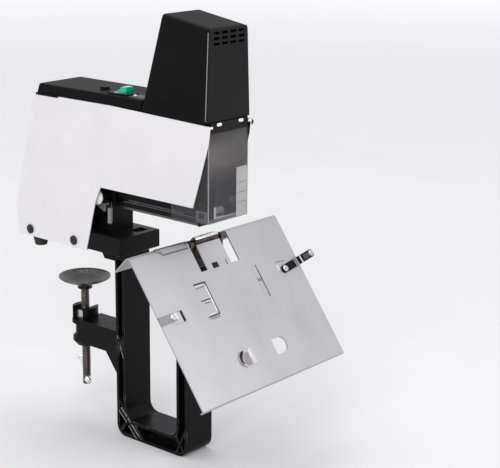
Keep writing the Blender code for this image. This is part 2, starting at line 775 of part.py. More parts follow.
half_flange = FLANGE / 2
arm_top_z = -ARM_TOP_DROP
arm_bottom_z = arm_top_z - ARM_HEIGHT
ribs = [
    rib("rib_rear_outer", (COLUMN_REAR_Y - half_flange, bar_top_z + BAR_HEIGHT),
        (COLUMN_REAR_Y - 2 * BAR_HEIGHT + half_flange, bar_bottom_z + half_flange)),
    rib("rib_rear_strut", (COLUMN_REAR_Y - OUTER_CORNER / 2, bar_bottom_z + OUTER_CORNER / 2),
        (COLUMN_FRONT_Y - WINDOW_CORNER / 2, bar_top_z + WINDOW_CORNER / 2)),
    rib("rib_front_outer", (FRONT_COLUMN_FRONT_Y + half_flange, bar_top_z + WINDOW_CORNER),
        (FRONT_COLUMN_REAR_Y + half_flange, bar_bottom_z + half_flange)),
    rib("rib_front_strut", (FRONT_COLUMN_REAR_Y + WINDOW_CORNER / 2,
                            bar_top_z + WINDOW_CORNER / 2),
        (FRONT_COLUMN_FRONT_Y + OUTER_CORNER / 2, bar_bottom_z + OUTER_CORNER / 2)),
    rib("rib_arm_down", (COLUMN_REAR_Y - half_flange, arm_top_z),
        (COLUMN_FRONT_Y + half_flange, arm_bottom_z)),
    rib("rib_arm_up", (COLUMN_FRONT_Y + half_flange, arm_top_z),
        (COLUMN_REAR_Y - half_flange, arm_bottom_z))]
envelope = prism("frame_envelope", channel(half_flange, FRAME_TOP_Z), "X", -frame_half,
                 frame_half)
for made in ribs:
    boolean(made, envelope, "INTERSECT")
join(frame_casting, *ribs)
arm_half = ARM_WIDTH / 2
arm_root_y = COLUMN_REAR_Y - half_flange
gusset_z = arm_bottom_z - GUSSET_DROP
gusset_y = COLUMN_REAR_Y + GUSSET_LENGTH
arm_tip_y = -BOSS_RADIUS / 2
arm = prism("clamp_arm", [(arm_root_y, arm_top_z), (arm_tip_y, arm_top_z),
                          (arm_tip_y, arm_bottom_z), (gusset_y, arm_bottom_z),
                          (COLUMN_REAR_Y, gusset_z), (arm_root_y, gusset_z)],
            "X", -arm_half, arm_half)
boss_profile = [(0, 0)] + [(BOSS_RADIUS * wide, -BOSS_HEIGHT * down)
                           for wide, down in BOSS_SHARES] + [(0, -BOSS_HEIGHT)]
boss = turned("clamp_boss", boss_profile, (0, 0, -BOSS_TOP_DROP))
nut_floor_z = -BOSS_TOP_DROP - NUT_FLOOR_DROP
slot_half = NUT_WIDTH / 2 + CLEARANCE
nut_slot = block("nut_slot", (-BOSS_RADIUS - OVERRUN, -slot_half, nut_floor_z),
                 (BOSS_RADIUS + OVERRUN, slot_half, -BOSS_TOP_DROP + OVERRUN))
screw_bore = rod("screw_bore", (0, 0, -BOSS_TOP_DROP), (0, 0, -BOSS_TOP_DROP
                 - BOSS_HEIGHT - OVERRUN), BOSS_BORE_RADIUS)
join(frame_casting, arm, boss)
cut(frame_casting, nut_slot, screw_bore)

# Clamp nut, screw, pad and tommy bar
nut_half = NUT_WIDTH / 2
clamp_nut = block("clamp_nut", (-nut_half, -nut_half, nut_floor_z + CLEARANCE),
                  (nut_half, nut_half, nut_floor_z + CLEARANCE + NUT_HEIGHT), "bright_steel")
cut(clamp_nut, rod("nut_bore", (0, 0, nut_floor_z - OVERRUN),
                   (0, 0, nut_floor_z + NUT_HEIGHT + OVERRUN), SCREW_RADIUS + CLEARANCE))

pad_top_z = -JAW_GAP
dish = PAD_RADIUS - HUB_RADIUS
pad_profile = [(0, pad_top_z - PAD_DEPTH), (HUB_RADIUS, pad_top_z - PAD_DEPTH)]
pad_profile += [(HUB_RADIUS + dish * out, pad_top_z - PAD_DEPTH * (1 - up))
                for out, up in PAD_DISH_SHARES]
pad_profile += [(PAD_RADIUS, pad_top_z - PAD_THICKNESS)]
pad_profile += [(HUB_RADIUS + dish * out, pad_top_z - PAD_DEPTH * (1 - up) - PAD_THICKNESS)
                for out, up in reversed(PAD_DISH_SHARES[:-1])]
hub_bottom_z = pad_top_z - HUB_DROP
pad_profile += [(HUB_RADIUS, pad_top_z - PAD_DEPTH - 2 * PAD_THICKNESS),
                (HUB_RADIUS, hub_bottom_z), (0, hub_bottom_z)]
clamp_pad = turned("clamp_pad", pad_profile, (0, 0, 0), "dark_steel")
socket_z = hub_bottom_z + SOCKET_DEPTH
cut(clamp_pad, rod("pad_socket", (0, 0, hub_bottom_z - OVERRUN), (0, 0, socket_z),
                   SCREW_RADIUS + CLEARANCE))
clamp_screw = rod("clamp_screw", (0, 0, -SCREW_BOTTOM_DROP), (0, 0, socket_z - CLEARANCE),
                  SCREW_RADIUS, "dark_steel")
tommy_turn = math.radians(TOMMY_ANGLE_DEG)
tommy_way = Vector((math.cos(tommy_turn), math.sin(tommy_turn), 0))
tommy_centre = Vector((0, 0, -TOMMY_DROP))
tommy_near = tommy_centre - tommy_way * TOMMY_NEAR
tommy_far = tommy_centre + tommy_way * TOMMY_FAR
cut(clamp_screw, rod("tommy_hole", tommy_centre - tommy_way * (SCREW_RADIUS + OVERRUN),
                     tommy_centre + tommy_way * (SCREW_RADIUS + OVERRUN),
                     TOMMY_RADIUS + CLEARANCE, segments=SMALL_SEGMENTS))
bar_inset = tommy_way * (TOMMY_BALL_RADIUS - TOMMY_SOCKET)
pivot(rod("tommy_bar", tommy_near + bar_inset, tommy_far - bar_inset, TOMMY_RADIUS,
          "bright_steel", segments=SMALL_SEGMENTS), tommy_centre)
for name, place, way in (("tommy_ball_near", tommy_near, 1), ("tommy_ball_far", tommy_far, -1)):
    knob = pivot(ball(name, place, TOMMY_BALL_RADIUS, "bright_steel"), tommy_centre)
    cut(knob, rod(name + "_socket", place + way * (bar_inset - tommy_way * CLEARANCE),
                  place + way * tommy_way * (TOMMY_BALL_RADIUS + OVERRUN),
                  TOMMY_RADIUS + CLEARANCE, segments=SMALL_SEGMENTS))

# Base casting: wide hollow base, neck and beam under the driver head
head_rear_y = STAPLE_Y + HEAD_BLOCK_REAR
beam_front_y = head_rear_y + CLEARANCE
base_casting = block("base_casting", (-BODY_HALF, BLOCK_FRONT_Y, BLOCK_BOTTOM_Z),
                     (BODY_HALF, BASE_REAR_Y, BLOCK_TOP_Z), "black_casting")
bevel(base_casting, PLATE_THICKNESS, segments=1)
pad_front_y = NECK_FRONT_Y - PAD_OVERLAP + CLEARANCE
pad_rear_y = pad_front_y + PAD_LENGTH
neck = prism("neck_web", [(pad_front_y, 0), (pad_rear_y, 0),
                          (pad_rear_y + PAD_RAMP_LENGTH, BLOCK_BOTTOM_Z + PAD_OVERLAP),
                          (NECK_REAR_Y, BLOCK_BOTTOM_Z + PAD_OVERLAP),
                          (NECK_REAR_Y, BEAM_TOP_Z), (beam_front_y, BEAM_TOP_Z),
                          (beam_front_y, BEAM_BOTTOM_Z), (NECK_FRONT_Y, BEAM_BOTTOM_Z),
                          (NECK_FRONT_Y, BLOCK_TOP_Z - PAD_OVERLAP),
                          (pad_front_y, BLOCK_TOP_Z - PAD_OVERLAP)],
             "X", -NECK_HALF, NECK_HALF)
join(base_casting, neck)
hollow = block("base_hollow",
               (-BODY_HALF + 2 * BASE_WALL, pad_rear_y + 2 * PAD_RAMP_LENGTH,
                BLOCK_BOTTOM_Z - OVERRUN),
               (BODY_HALF - 2 * BASE_WALL, BASE_REAR_Y - BASE_WALL, BLOCK_TOP_Z - BASE_WALL))
stop_bottom_z = RAIL_BOTTOM_Z + STOP_BOTTOM_LIFT
pocket_low_z = stop_bottom_z - 2 * POCKET_MARGIN
pocket_high_z = stop_bottom_z + STOP_HEIGHT + POCKET_MARGIN
stop_rear_y = NECK_FRONT_Y + STOP_LENGTH
knob_pocket = block("stop_pocket", (-NECK_HALF - OVERRUN, NECK_FRONT_Y - OVERRUN, pocket_low_z),
                    (-RAIL_HALF, stop_rear_y + RUNNING, pocket_high_z))
slot_front_y = BLOCK_FRONT_Y + SLOT_SETBACK
tray = block("block_tray", (SLOT_OFFSET_X - SLOT_WIDTH / 2, slot_front_y,
                            BLOCK_TOP_Z - SLOT_DEPTH),
             (SLOT_OFFSET_X + SLOT_WIDTH / 2, slot_front_y + SLOT_LENGTH,
              BLOCK_TOP_Z + OVERRUN))
cut(base_casting, hollow, knob_pocket, tray)

groove_low_z = RAIL_BOTTOM_Z + GROOVE_LEVEL
rail_front_y = STAPLE_Y + DRIVE_GAP
arm_rail = block("arm_rail", (-RAIL_HALF, rail_front_y, RAIL_BOTTOM_Z),
                 (RAIL_HALF, NECK_FRONT_Y - CLEARANCE, RAIL_TOP_Z), "black_casting")
rail_hollow_half = RAIL_HALF - RAIL_WALL
cut(arm_rail, block("rail_hollow",
                    (-rail_hollow_half, rail_front_y - OVERRUN, RAIL_BOTTOM_Z - OVERRUN),
                    (rail_hollow_half, NECK_FRONT_Y - RAIL_WALL, RAIL_TOP_Z - RAIL_ROOF)))
for side in (-1, 1):
    inner, outer = sorted((side * (RAIL_HALF - GROOVE_DEPTH), side * (RAIL_HALF + OVERRUN)))
    groove = block(f"rail_groove_{side}",
                   (inner, NECK_FRONT_Y - GROOVE_LENGTH, groove_low_z),
                   (outer, stop_rear_y + RUNNING, groove_low_z + GROOVE_HEIGHT))
    cut(arm_rail, groove)
    if side < 0:
        cut(base_casting, groove)

# Magazine, staple strip, follower and its spring
magazine_half = rail_hollow_half - CLEARANCE
magazine_rear_y = NECK_FRONT_Y - MAGAZINE_SETBACK
magazine_front_y = rail_front_y + CLEARANCE / 3
magazine = block("magazine", (-magazine_half, magazine_front_y, MAGAZINE_BOTTOM_Z),
                 (magazine_half, magazine_rear_y, MAGAZINE_BOTTOM_Z + MAGAZINE_HEIGHT),
                 "bright_steel")
magazine_floor_z = MAGAZINE_BOTTOM_Z + MAGAZINE_WALL
cut(magazine, block("magazine_channel",
                    (-magazine_half + MAGAZINE_WALL, magazine_front_y - OVERRUN,
                     magazine_floor_z),
                    (magazine_half - MAGAZINE_WALL, magazine_rear_y - MAGAZINE_WALL,
                     MAGAZINE_BOTTOM_Z + MAGAZINE_HEIGHT + OVERRUN)))
strip_low_z = magazine_floor_z + CLEARANCE
strip_high_z = strip_low_z + STAPLE_LEG
strip_front_y = magazine_front_y + CLEARANCE
strip_rear_y = strip_front_y + STRIP_LENGTH
staple_half = STAPLE_WIDTH / 2
staple_strip = block("staple_strip", (-staple_half, strip_front_y, strip_low_z),
                     (staple_half, strip_rear_y, strip_high_z), "bright_steel")
cut(staple_strip, block("staple_legs", (-staple_half + STAPLE_WIRE, strip_front_y - OVERRUN,
                                        strip_low_z - OVERRUN),
                        (staple_half - STAPLE_WIRE, strip_rear_y + OVERRUN,
                         strip_high_z - STAPLE_WIRE)))
follower_front_y = strip_rear_y + CLEARANCE
follower_rear_y = follower_front_y + FOLLOWER_LENGTH
follower = block("follower", (-staple_half, follower_front_y, strip_low_z),
                 (staple_half, follower_rear_y, strip_low_z + FOLLOWER_HEIGHT),
                 "black_plastic")
bevel(follower, STAPLE_WIRE, segments=1)
spring_front_y = follower_rear_y + CLEARANCE
spring_rear_y = magazine_rear_y - MAGAZINE_WALL - CLEARANCE
follower_spring = helix("follower_spring",
                        (0, (spring_front_y + spring_rear_y) / 2,
                         strip_low_z + FOLLOWER_HEIGHT / 2), "Y", FOLLOWER_SPRING_RADIUS,
                        FOLLOWER_WIRE, spring_rear_y - spring_front_y, FOLLOWER_COILS,
                        "bright_steel")
nose_rear_y = rail_front_y - CLEARANCE
nose_front_y = nose_rear_y - NOSE_THICKNESS
nose_plate = prism("nose_plate",
                   [(nose_rear_y, MAGAZINE_BOTTOM_Z), (nose_rear_y, RAIL_TOP_Z),
                    (nose_front_y, RAIL_TOP_Z),
                    (nose_front_y, MAGAZINE_BOTTOM_Z + 2 * NOSE_CHAMFER),
                    (nose_front_y + NOSE_CHAMFER, MAGAZINE_BOTTOM_Z)],
                   "X", -NOSE_HALF, NOSE_HALF, "dark_steel")
blade_slot_half = BLADE_HALF + CLEARANCE
cut(nose_plate, block("drive_slot", (-blade_slot_half, nose_rear_y - NOSE_SLOT_DEPTH,
                                     MAGAZINE_BOTTOM_Z - OVERRUN),
                      (blade_slot_half, nose_rear_y + OVERRUN, RAIL_TOP_Z + OVERRUN)))

# Floor of the head, driver head, solenoid, plunger and blade
floor_plate = block("floor_plate", (-FLOOR_HALF, STAPLE_Y - FLOOR_FRONT, FLOOR_BOTTOM_Z),
                    (FLOOR_HALF, NECK_FRONT_Y - CLEARANCE, FLOOR_BOTTOM_Z + FLOOR_THICKNESS),
                    "black_casting")
blade_front_y = STAPLE_Y - BLADE_THICKNESS / 2
blade_rear_y = STAPLE_Y + BLADE_THICKNESS / 2
head_block = block("head_block",
                   (-HEAD_BLOCK_HALF, STAPLE_Y - HEAD_BLOCK_FRONT, BEAM_BOTTOM_Z),
                   (HEAD_BLOCK_HALF, head_rear_y, HEAD_BLOCK_TOP_Z), "black_casting")
bevel(head_block, NOSE_CHAMFER, segments=2)
blade_slot = block("blade_slot", (-blade_slot_half, blade_front_y - CLEARANCE,
                                  FLOOR_BOTTOM_Z - OVERRUN),
                   (blade_slot_half, blade_rear_y + CLEARANCE, HEAD_BLOCK_TOP_Z + OVERRUN))
blade_top_z = BLADE_BOTTOM_Z + BLADE_LENGTH
plunger_low_z = blade_top_z - PLUNGER_GRIP
well_z = plunger_low_z - DRIVER_STROKE - PLUNGER_WELL
plunger_bore = PLUNGER_RADIUS + CLEARANCE
cut(floor_plate, blade_slot)
cut(head_block, blade_slot,
    rod("plunger_well", (0, STAPLE_Y, well_z), (0, STAPLE_Y, HEAD_BLOCK_TOP_Z + OVERRUN),
        plunger_bore))
driver_blade = block("driver_blade", (-BLADE_HALF, blade_front_y, BLADE_BOTTOM_Z),
                     (BLADE_HALF, blade_rear_y, blade_top_z), "bright_steel")
plunger_top_z = plunger_low_z + PLUNGER_LENGTH
plunger_profile = [(0, plunger_top_z + PLUNGER_FLANGE_HEIGHT),
                   (PLUNGER_FLANGE_RADIUS, plunger_top_z + PLUNGER_FLANGE_HEIGHT),
                   (PLUNGER_FLANGE_RADIUS, plunger_top_z), (PLUNGER_RADIUS, plunger_top_z),
                   (PLUNGER_RADIUS, plunger_low_z), (0, plunger_low_z)]
plunger = turned("plunger", plunger_profile, (0, STAPLE_Y, 0), "bright_steel")
cut(plunger, block("blade_grip", (-PLUNGER_RADIUS - OVERRUN, blade_front_y - CLEARANCE,
                                  plunger_low_z - OVERRUN),
                   (PLUNGER_RADIUS + OVERRUN, blade_rear_y + CLEARANCE,
                    blade_top_z + CLEARANCE)))
yoke_low_z = HEAD_BLOCK_TOP_Z + CLEARANCE
yoke_high_z = yoke_low_z + YOKE_HEIGHT
solenoid_yoke = block("solenoid_yoke", (-YOKE_HALF, STAPLE_Y - YOKE_HALF_DEPTH, yoke_low_z),
                      (YOKE_HALF, STAPLE_Y + YOKE_HALF_DEPTH, yoke_high_z), "dark_steel")
coil_low_z = yoke_low_z + YOKE_BRIDGE
coil_high_z = yoke_high_z - YOKE_BRIDGE
window_half = YOKE_HALF - YOKE_WALL
bore = rod("solenoid_bore", (0, STAPLE_Y, yoke_low_z - OVERRUN),
           (0, STAPLE_Y, yoke_high_z + OVERRUN), plunger_bore)
cut(solenoid_yoke,
    block("yoke_window", (-window_half, STAPLE_Y - YOKE_HALF_DEPTH - OVERRUN, coil_low_z),
          (window_half, STAPLE_Y + YOKE_HALF_DEPTH + OVERRUN, coil_high_z)), bore)
solenoid_coil = rod("solenoid_coil", (0, STAPLE_Y, coil_low_z + CLEARANCE),
                    (0, STAPLE_Y, coil_high_z - CLEARANCE), COIL_RADIUS, "copper_tape")
cut(solenoid_coil, bore)
spring_low_z = yoke_high_z + CLEARANCE
spring_high_z = plunger_top_z - CLEARANCE
return_spring = helix("return_spring", (0, STAPLE_Y, (spring_low_z + spring_high_z) / 2), "Z",
                      SPRING_RADIUS, SPRING_WIRE, spring_high_z - spring_low_z, SPRING_COILS,
                      "bright_steel")

# Side plates
rear_edge = [(PLATE_REAR_Y - HEAD_LENGTH * back, FOOT_HEIGHT + PLATE_HEIGHT * up)
             for back, up in REAR_EDGE_SHARES]
front_bottom_y = PLATE_FRONT_Y + FRONT_RAKE
front_top_z = PLATE_TOP_Z - FRONT_TOP_DROP
front_height = front_top_z - FLOOR_BOTTOM_Z
leg_top_y = NECK_FRONT_Y + LEG_INSET
plate_outline = rear_edge + [
    (PLATE_REAR_Y - HEAD_LENGTH * TOP_REAR_SHARE, PLATE_TOP_Z - CLEARANCE),
    (PLATE_REAR_Y - HEAD_LENGTH * TOP_LEVEL_SHARE, PLATE_TOP_Z),
    (PLATE_FRONT_Y, front_top_z)]
plate_outline += [(PLATE_FRONT_Y + FRONT_RAKE * back, FLOOR_BOTTOM_Z + front_height * up)
                  for back, up in FRONT_EDGE_SHARES]
plate_outline += [(front_bottom_y, FLOOR_BOTTOM_Z), (leg_top_y, FLOOR_BOTTOM_Z)]
plate_outline += [(leg_top_y + LEG_RAKE * back,
                   FOOT_HEIGHT + (FLOOR_BOTTOM_Z - FOOT_HEIGHT) * up)
                  for back, up in LEG_EDGE_SHARES]
plate_outline += [(leg_top_y + LEG_RAKE, FOOT_HEIGHT)]
plate_sides = {}
for label, side in (("left", -1), ("right", 1)):
    inner, outer = sorted((side * PLATE_INNER_X, side * HEAD_WIDTH / 2))
    plate = prism(f"side_plate_{label}", plate_outline, "X", inner, outer, "white_paint")
    plate_sides[label] = plate
    for station, cap_y in CAP_STATIONS:
        face_x = side * HEAD_WIDTH / 2
        hole = rod(f"cap_hole_{label}_{station}",
                   (side * (BODY_HALF - CAP_SHANK_LENGTH - RUNNING), cap_y, CAP_Z),
                   (side * (HEAD_WIDTH / 2 + OVERRUN), cap_y, CAP_Z),
                   CAP_SHANK_RADIUS + CLEARANCE, segments=SMALL_SEGMENTS)
        cut(plate, hole)
        cut(base_casting, hole)
        seat = HEAD_WIDTH / 2 + CLEARANCE
        cap_profile = [(0, seat + CAP_HEIGHT), (CAP_RADIUS / 2, seat + CAP_HEIGHT),
                       (CAP_RADIUS, seat + CAP_HEIGHT / 2), (CAP_RADIUS, seat),
                       (CAP_SHANK_RADIUS, seat),
                       (CAP_SHANK_RADIUS, BODY_HALF - CAP_SHANK_LENGTH),
                       (0, BODY_HALF - CAP_SHANK_LENGTH)]
        turned(f"plate_cap_{label}_{station}", cap_profile, (0, cap_y, CAP_Z),
               "black_rubber", steps=SMALL_SEGMENTS, axis="X" if side > 0 else "-X")

# Rear cover: sheet bent along the plates' rear edge, and the base plate and feet
cover_mesh = bmesh.new()
path = [Vector((0, y, z)) for y, z in rear_edge]
path[0].z += REAR_COVER_LIFT
inset = COVER_WALL + CLEARANCE
left_row = [cover_mesh.verts.new((-BODY_HALF, point.y - inset, point.z)) for point in path]
right_row = [cover_mesh.verts.new((BODY_HALF, point.y - inset, point.z)) for point in path]
for index in range(len(path) - 1):
    cover_mesh.faces.new((left_row[index], right_row[index], right_row[index + 1],
                          left_row[index + 1]))
cover_data = bpy.data.meshes.new("rear_cover")
cover_mesh.to_mesh(cover_data)
cover_mesh.free()
rear_cover = shell(add_object("rear_cover", cover_data, "grey_paint"), COVER_WALL, offset=1.0)
base_plate = block("base_plate", (-BODY_HALF, NECK_FRONT_Y + BASE_PLATE_FRONT_GAP, FOOT_HEIGHT),
                   (BODY_HALF, PLATE_REAR_Y - BASE_PLATE_REAR_INSET,
                    FOOT_HEIGHT + BASE_PLATE_THICKNESS), "grey_paint")
for label, side in (("left", -1), ("right", 1)):
    place_x = side * FOOT_HALF_SPACING
    rod(f"foot_rear_{label}", (place_x, FOOT_Y, 0), (place_x, FOOT_Y, FOOT_HEIGHT - CLEARANCE),
        FOOT_BOTTOM_RADIUS, "black_rubber", end_radius=FOOT_TOP_RADIUS,
        segments=SMALL_SEGMENTS)

# Power inlet in the rear cover
inlet_z = FOOT_HEIGHT + INLET_LEVEL
inlet_half = INLET_WIDTH / 2
inlet_rear_y = PLATE_REAR_Y + CLEARANCE
inlet_front_y = inlet_rear_y - INLET_DEPTH
power_inlet = block("power_inlet", (-inlet_half, inlet_front_y, inlet_z - INLET_HEIGHT / 2),
                    (inlet_half, inlet_rear_y + INLET_FLANGE_THICKNESS,
                     inlet_z + INLET_HEIGHT / 2), "black_plastic")
flange = block("inlet_flange",
               (-inlet_half - INLET_FLANGE, inlet_rear_y,
                inlet_z - INLET_HEIGHT / 2 - INLET_FLANGE),
               (inlet_half + INLET_FLANGE, inlet_rear_y + INLET_FLANGE_THICKNESS,
                inlet_z + INLET_HEIGHT / 2 + INLET_FLANGE))
recess = block("inlet_recess",
               (-inlet_half + INLET_WALL, inlet_front_y + INLET_WALL,
                inlet_z - INLET_HEIGHT / 2 + INLET_WALL),
               (inlet_half - INLET_WALL, inlet_rear_y + OVERRUN,
                inlet_z + INLET_HEIGHT / 2 - INLET_WALL))
cut(join(power_inlet, flange), recess)
for index in (-1, 0, 1):
    pin_x = index * INLET_PIN_PITCH
    pin_z = inlet_z + (INLET_PIN_HEIGHT / 2 if index == 0 else -INLET_PIN_HEIGHT / 4)
    join(power_inlet, block(f"inlet_pin_{index}",
                            (pin_x - INLET_PIN_WIDTH / 2, inlet_front_y + INLET_WALL / 2,
                             pin_z - INLET_PIN_HEIGHT / 2),
                            (pin_x + INLET_PIN_WIDTH / 2,
                             inlet_front_y + INLET_WALL + INLET_PIN_LENGTH,
                             pin_z + INLET_PIN_HEIGHT / 2)))
cut(rear_cover, block("inlet_opening",
                      (-inlet_half - CLEARANCE, inlet_front_y,
                       inlet_z - INLET_HEIGHT / 2 - CLEARANCE),
                      (inlet_half + CLEARANCE, inlet_rear_y + OVERRUN,
                       inlet_z + INLET_HEIGHT / 2 + CLEARANCE)))

# Circuit board behind the neck
board_span = inlet_front_y - NECK_REAR_Y
board_y = NECK_REAR_Y + board_span * BOARD_START_SHARE
board_length = board_span * BOARD_LENGTH_SHARE
board_z = BLOCK_TOP_Z + CLEARANCE
circuit_board = block("circuit_board", (-BOARD_THICKNESS / 2, board_y, board_z),
                      (BOARD_THICKNESS / 2, board_y + board_length, board_z + BOARD_HEIGHT),
                      "board_green")
for index, (y0, z0, y1, z1, tall) in enumerate(BOARD_PART_SHARES):
    join(circuit_board, block(f"board_part_{index}",
                              (0, board_y + board_length * y0, board_z + BOARD_HEIGHT * z0),
                              (BOARD_PART_HEIGHT * tall, board_y + board_length * y1,
                               board_z + BOARD_HEIGHT * z1)))

# Top cover and tower
cover_rear_y = PLATE_REAR_Y - COVER_REAR_OVERLAP
tower_rear_bottom_z = PLATE_TOP_Z - CLEARANCE * 2
tower_front_bottom_z = front_top_z + CLEARANCE * 2
tower_rear_top_z = tower_rear_bottom_z + TOWER_REAR_HEIGHT
tower_front_top_z = front_top_z + TOWER_FRONT_HEIGHT
rear_slope = TOWER_REAR_LEAN / TOWER_REAR_HEIGHT
cover_front_y = TOWER_REAR_Y + 2 * CLEARANCE + COVER_SHELL * rear_slope
cover_front_top_y = cover_front_y - COVER_HEIGHT * rear_slope
top_cover = frustum("top_cover", {
    (x, y, z): ((COVER_HALF if x else -COVER_HALF),
                ((cover_rear_y - COVER_REAR_SLOPE * z) if y
                 else (cover_front_top_y if z else cover_front_y)),
                COVER_TOP_Z if z else COVER_BOTTOM_Z)
    for x in (0, 1) for y in (0, 1) for z in (0, 1)},
    "black_plastic", open_faces=((2, -1), (1, -1)))
shell(bevel(top_cover, COVER_ROUND), COVER_SHELL)
tower_front_shell_top_z = tower_front_top_z + (
    (tower_rear_top_z - tower_front_top_z) * (TOWER_SHELL_FRONT_Y - TOWER_FRONT_Y)
    / (TOWER_LENGTH - TOWER_REAR_LEAN))
tower_shell = frustum("tower_shell", {
    (x, y, z): (((TOWER_HALF_TOP if z else TOWER_HALF_BASE) * (1 if x else -1)),
                ((TOWER_REAR_Y - TOWER_REAR_LEAN * z) if y else TOWER_SHELL_FRONT_Y),
                ((tower_rear_top_z if y else tower_front_shell_top_z) if z
                 else (tower_rear_bottom_z + CLEARANCE * 2 if y else tower_front_bottom_z)))
    for x in (0, 1) for y in (0, 1) for z in (0, 1)},
    "black_plastic", open_faces=((2, -1), (1, -1)))
shell(bevel(tower_shell, TOWER_ROUND, segments=3), TOWER_WALL)
panel_low_z = tower_front_bottom_z + PANEL_LIFT
tower_side_lean = (TOWER_HALF_BASE - TOWER_HALF_TOP) / TOWER_FRONT_HEIGHT
panel_half_low = TOWER_HALF_BASE - tower_side_lean * PANEL_LIFT
tower_front_panel = prism(
    "tower_front_panel",
    rounded([(-panel_half_low, panel_low_z), (panel_half_low, panel_low_z),
             (TOWER_HALF_TOP, tower_front_top_z), (-TOWER_HALF_TOP, tower_front_top_z)],
            [0, 0, TOWER_ROUND, TOWER_ROUND]),
    "Y", TOWER_FRONT_Y, TOWER_FRONT_Y + PANEL_THICKNESS, "black_plastic")
for row in range(VENT_ROWS):
    vent_z = tower_front_top_z - VENT_TOP_DROP - row * VENT_PITCH_Z
    for column in range(VENT_COLUMNS):
        vent_x = (column - (VENT_COLUMNS - 1) / 2) * VENT_PITCH_X
        cut(tower_front_panel, block(
            f"vent_{row}_{column}",
            (vent_x - VENT_WIDTH / 2, TOWER_FRONT_Y - OVERRUN, vent_z - VENT_HEIGHT / 2),
            (vent_x + VENT_WIDTH / 2, TOWER_FRONT_Y + PANEL_THICKNESS + OVERRUN,
             vent_z + VENT_HEIGHT / 2)))

# Power rocker in its bezel, and the force knob
bezel_inner_x = ROCKER_HALF_WIDTH + CLEARANCE
bezel_inner_y = ROCKER_HALF_LENGTH + RUNNING
bezel_outer_x = bezel_inner_x + BEZEL_WALL
bezel_outer_y = bezel_inner_y + BEZEL_WALL
lip_low_z = COVER_TOP_Z + CLEARANCE
lip_high_z = lip_low_z + BEZEL_LIP_HEIGHT
bezel_low_z = lip_high_z - BEZEL_DEPTH
switch_bezel = block("switch_bezel",
                     (ROCKER_X - bezel_outer_x, ROCKER_Y - bezel_outer_y, bezel_low_z),
                     (ROCKER_X + bezel_outer_x, ROCKER_Y + bezel_outer_y, lip_high_z),
                     "grey_paint")
join(switch_bezel, block("bezel_lip",
                         (ROCKER_X - bezel_outer_x - BEZEL_LIP / 2,
                          ROCKER_Y - bezel_outer_y - BEZEL_LIP, lip_low_z),
                         (ROCKER_X + bezel_outer_x + BEZEL_LIP / 2,
                          ROCKER_Y + bezel_outer_y + BEZEL_LIP, lip_high_z)))
cut(switch_bezel, block("bezel_well",
                        (ROCKER_X - bezel_inner_x, ROCKER_Y - bezel_inner_y,
                         bezel_low_z + BEZEL_WALL),
                        (ROCKER_X + bezel_inner_x, ROCKER_Y + bezel_inner_y,
                         lip_high_z + OVERRUN)))
cut(top_cover, block("bezel_opening",
                     (ROCKER_X - bezel_outer_x - CLEARANCE,
                      ROCKER_Y - bezel_outer_y - CLEARANCE, COVER_BOTTOM_Z),
                     (ROCKER_X + bezel_outer_x + CLEARANCE,
                      ROCKER_Y + bezel_outer_y + CLEARANCE, COVER_TOP_Z + OVERRUN)))
tilt = Matrix.Rotation(-math.radians(ROCKER_TILT_DEG), 2)
rocker_z = lip_high_z - ROCKER_DIP
rocker_outline = []
for along, up in ROCKER_OUTLINE_SHARES:
    height = ROCKER_DIP / 2 + up * ROCKER_RISE if up >= 0 else up * ROCKER_DEPTH
    reach = math.sqrt(max(0.0, ROCKER_HALF_LENGTH ** 2 - height ** 2))
    point = Vector((min(abs(along) * ROCKER_HALF_LENGTH, reach) * (1 if along > 0 else -1),
                    height))
    point.rotate(tilt)
    rocker_outline.append((ROCKER_Y + point.x, rocker_z + point.y))
rocker = pivot(prism("rocker", rocker_outline, "X", ROCKER_X - ROCKER_HALF_WIDTH,
                     ROCKER_X + ROCKER_HALF_WIDTH, "green_plastic"),
               (ROCKER_X, ROCKER_Y, rocker_z))
knob_seat_z = COVER_TOP_Z + CLEARANCE
force_knob = turned("force_knob",
                    [(0, knob_seat_z + KNOB_HEIGHT),
                     (KNOB_RADIUS * KNOB_TOP_SHARE, knob_seat_z + KNOB_HEIGHT),
                     (KNOB_RADIUS, knob_seat_z + KNOB_HEIGHT * KNOB_EDGE_SHARE),
                     (KNOB_RADIUS, knob_seat_z), (KNOB_SHAFT_RADIUS, knob_seat_z),
                     (KNOB_SHAFT_RADIUS, knob_seat_z - KNOB_SHAFT_LENGTH),
                     (0, knob_seat_z - KNOB_SHAFT_LENGTH)],
                    (KNOB_X, KNOB_Y, 0), "black_plastic")
cut(force_knob, block("knob_slot",
                      (KNOB_X - KNOB_RADIUS * KNOB_SLOT_SHARE, KNOB_Y - KNOB_SLOT_WIDTH / 2,
                       knob_seat_z + KNOB_HEIGHT * KNOB_SLOT_LEVEL_SHARE),
                      (KNOB_X + KNOB_RADIUS * KNOB_SLOT_SHARE, KNOB_Y + KNOB_SLOT_WIDTH / 2,
                       knob_seat_z + KNOB_HEIGHT + OVERRUN)))
cut(top_cover, rod("knob_hole", (KNOB_X, KNOB_Y, COVER_BOTTOM_Z),
                   (KNOB_X, KNOB_Y, COVER_TOP_Z + OVERRUN), KNOB_SHAFT_RADIUS + CLEARANCE,
                   segments=SMALL_SEGMENTS))

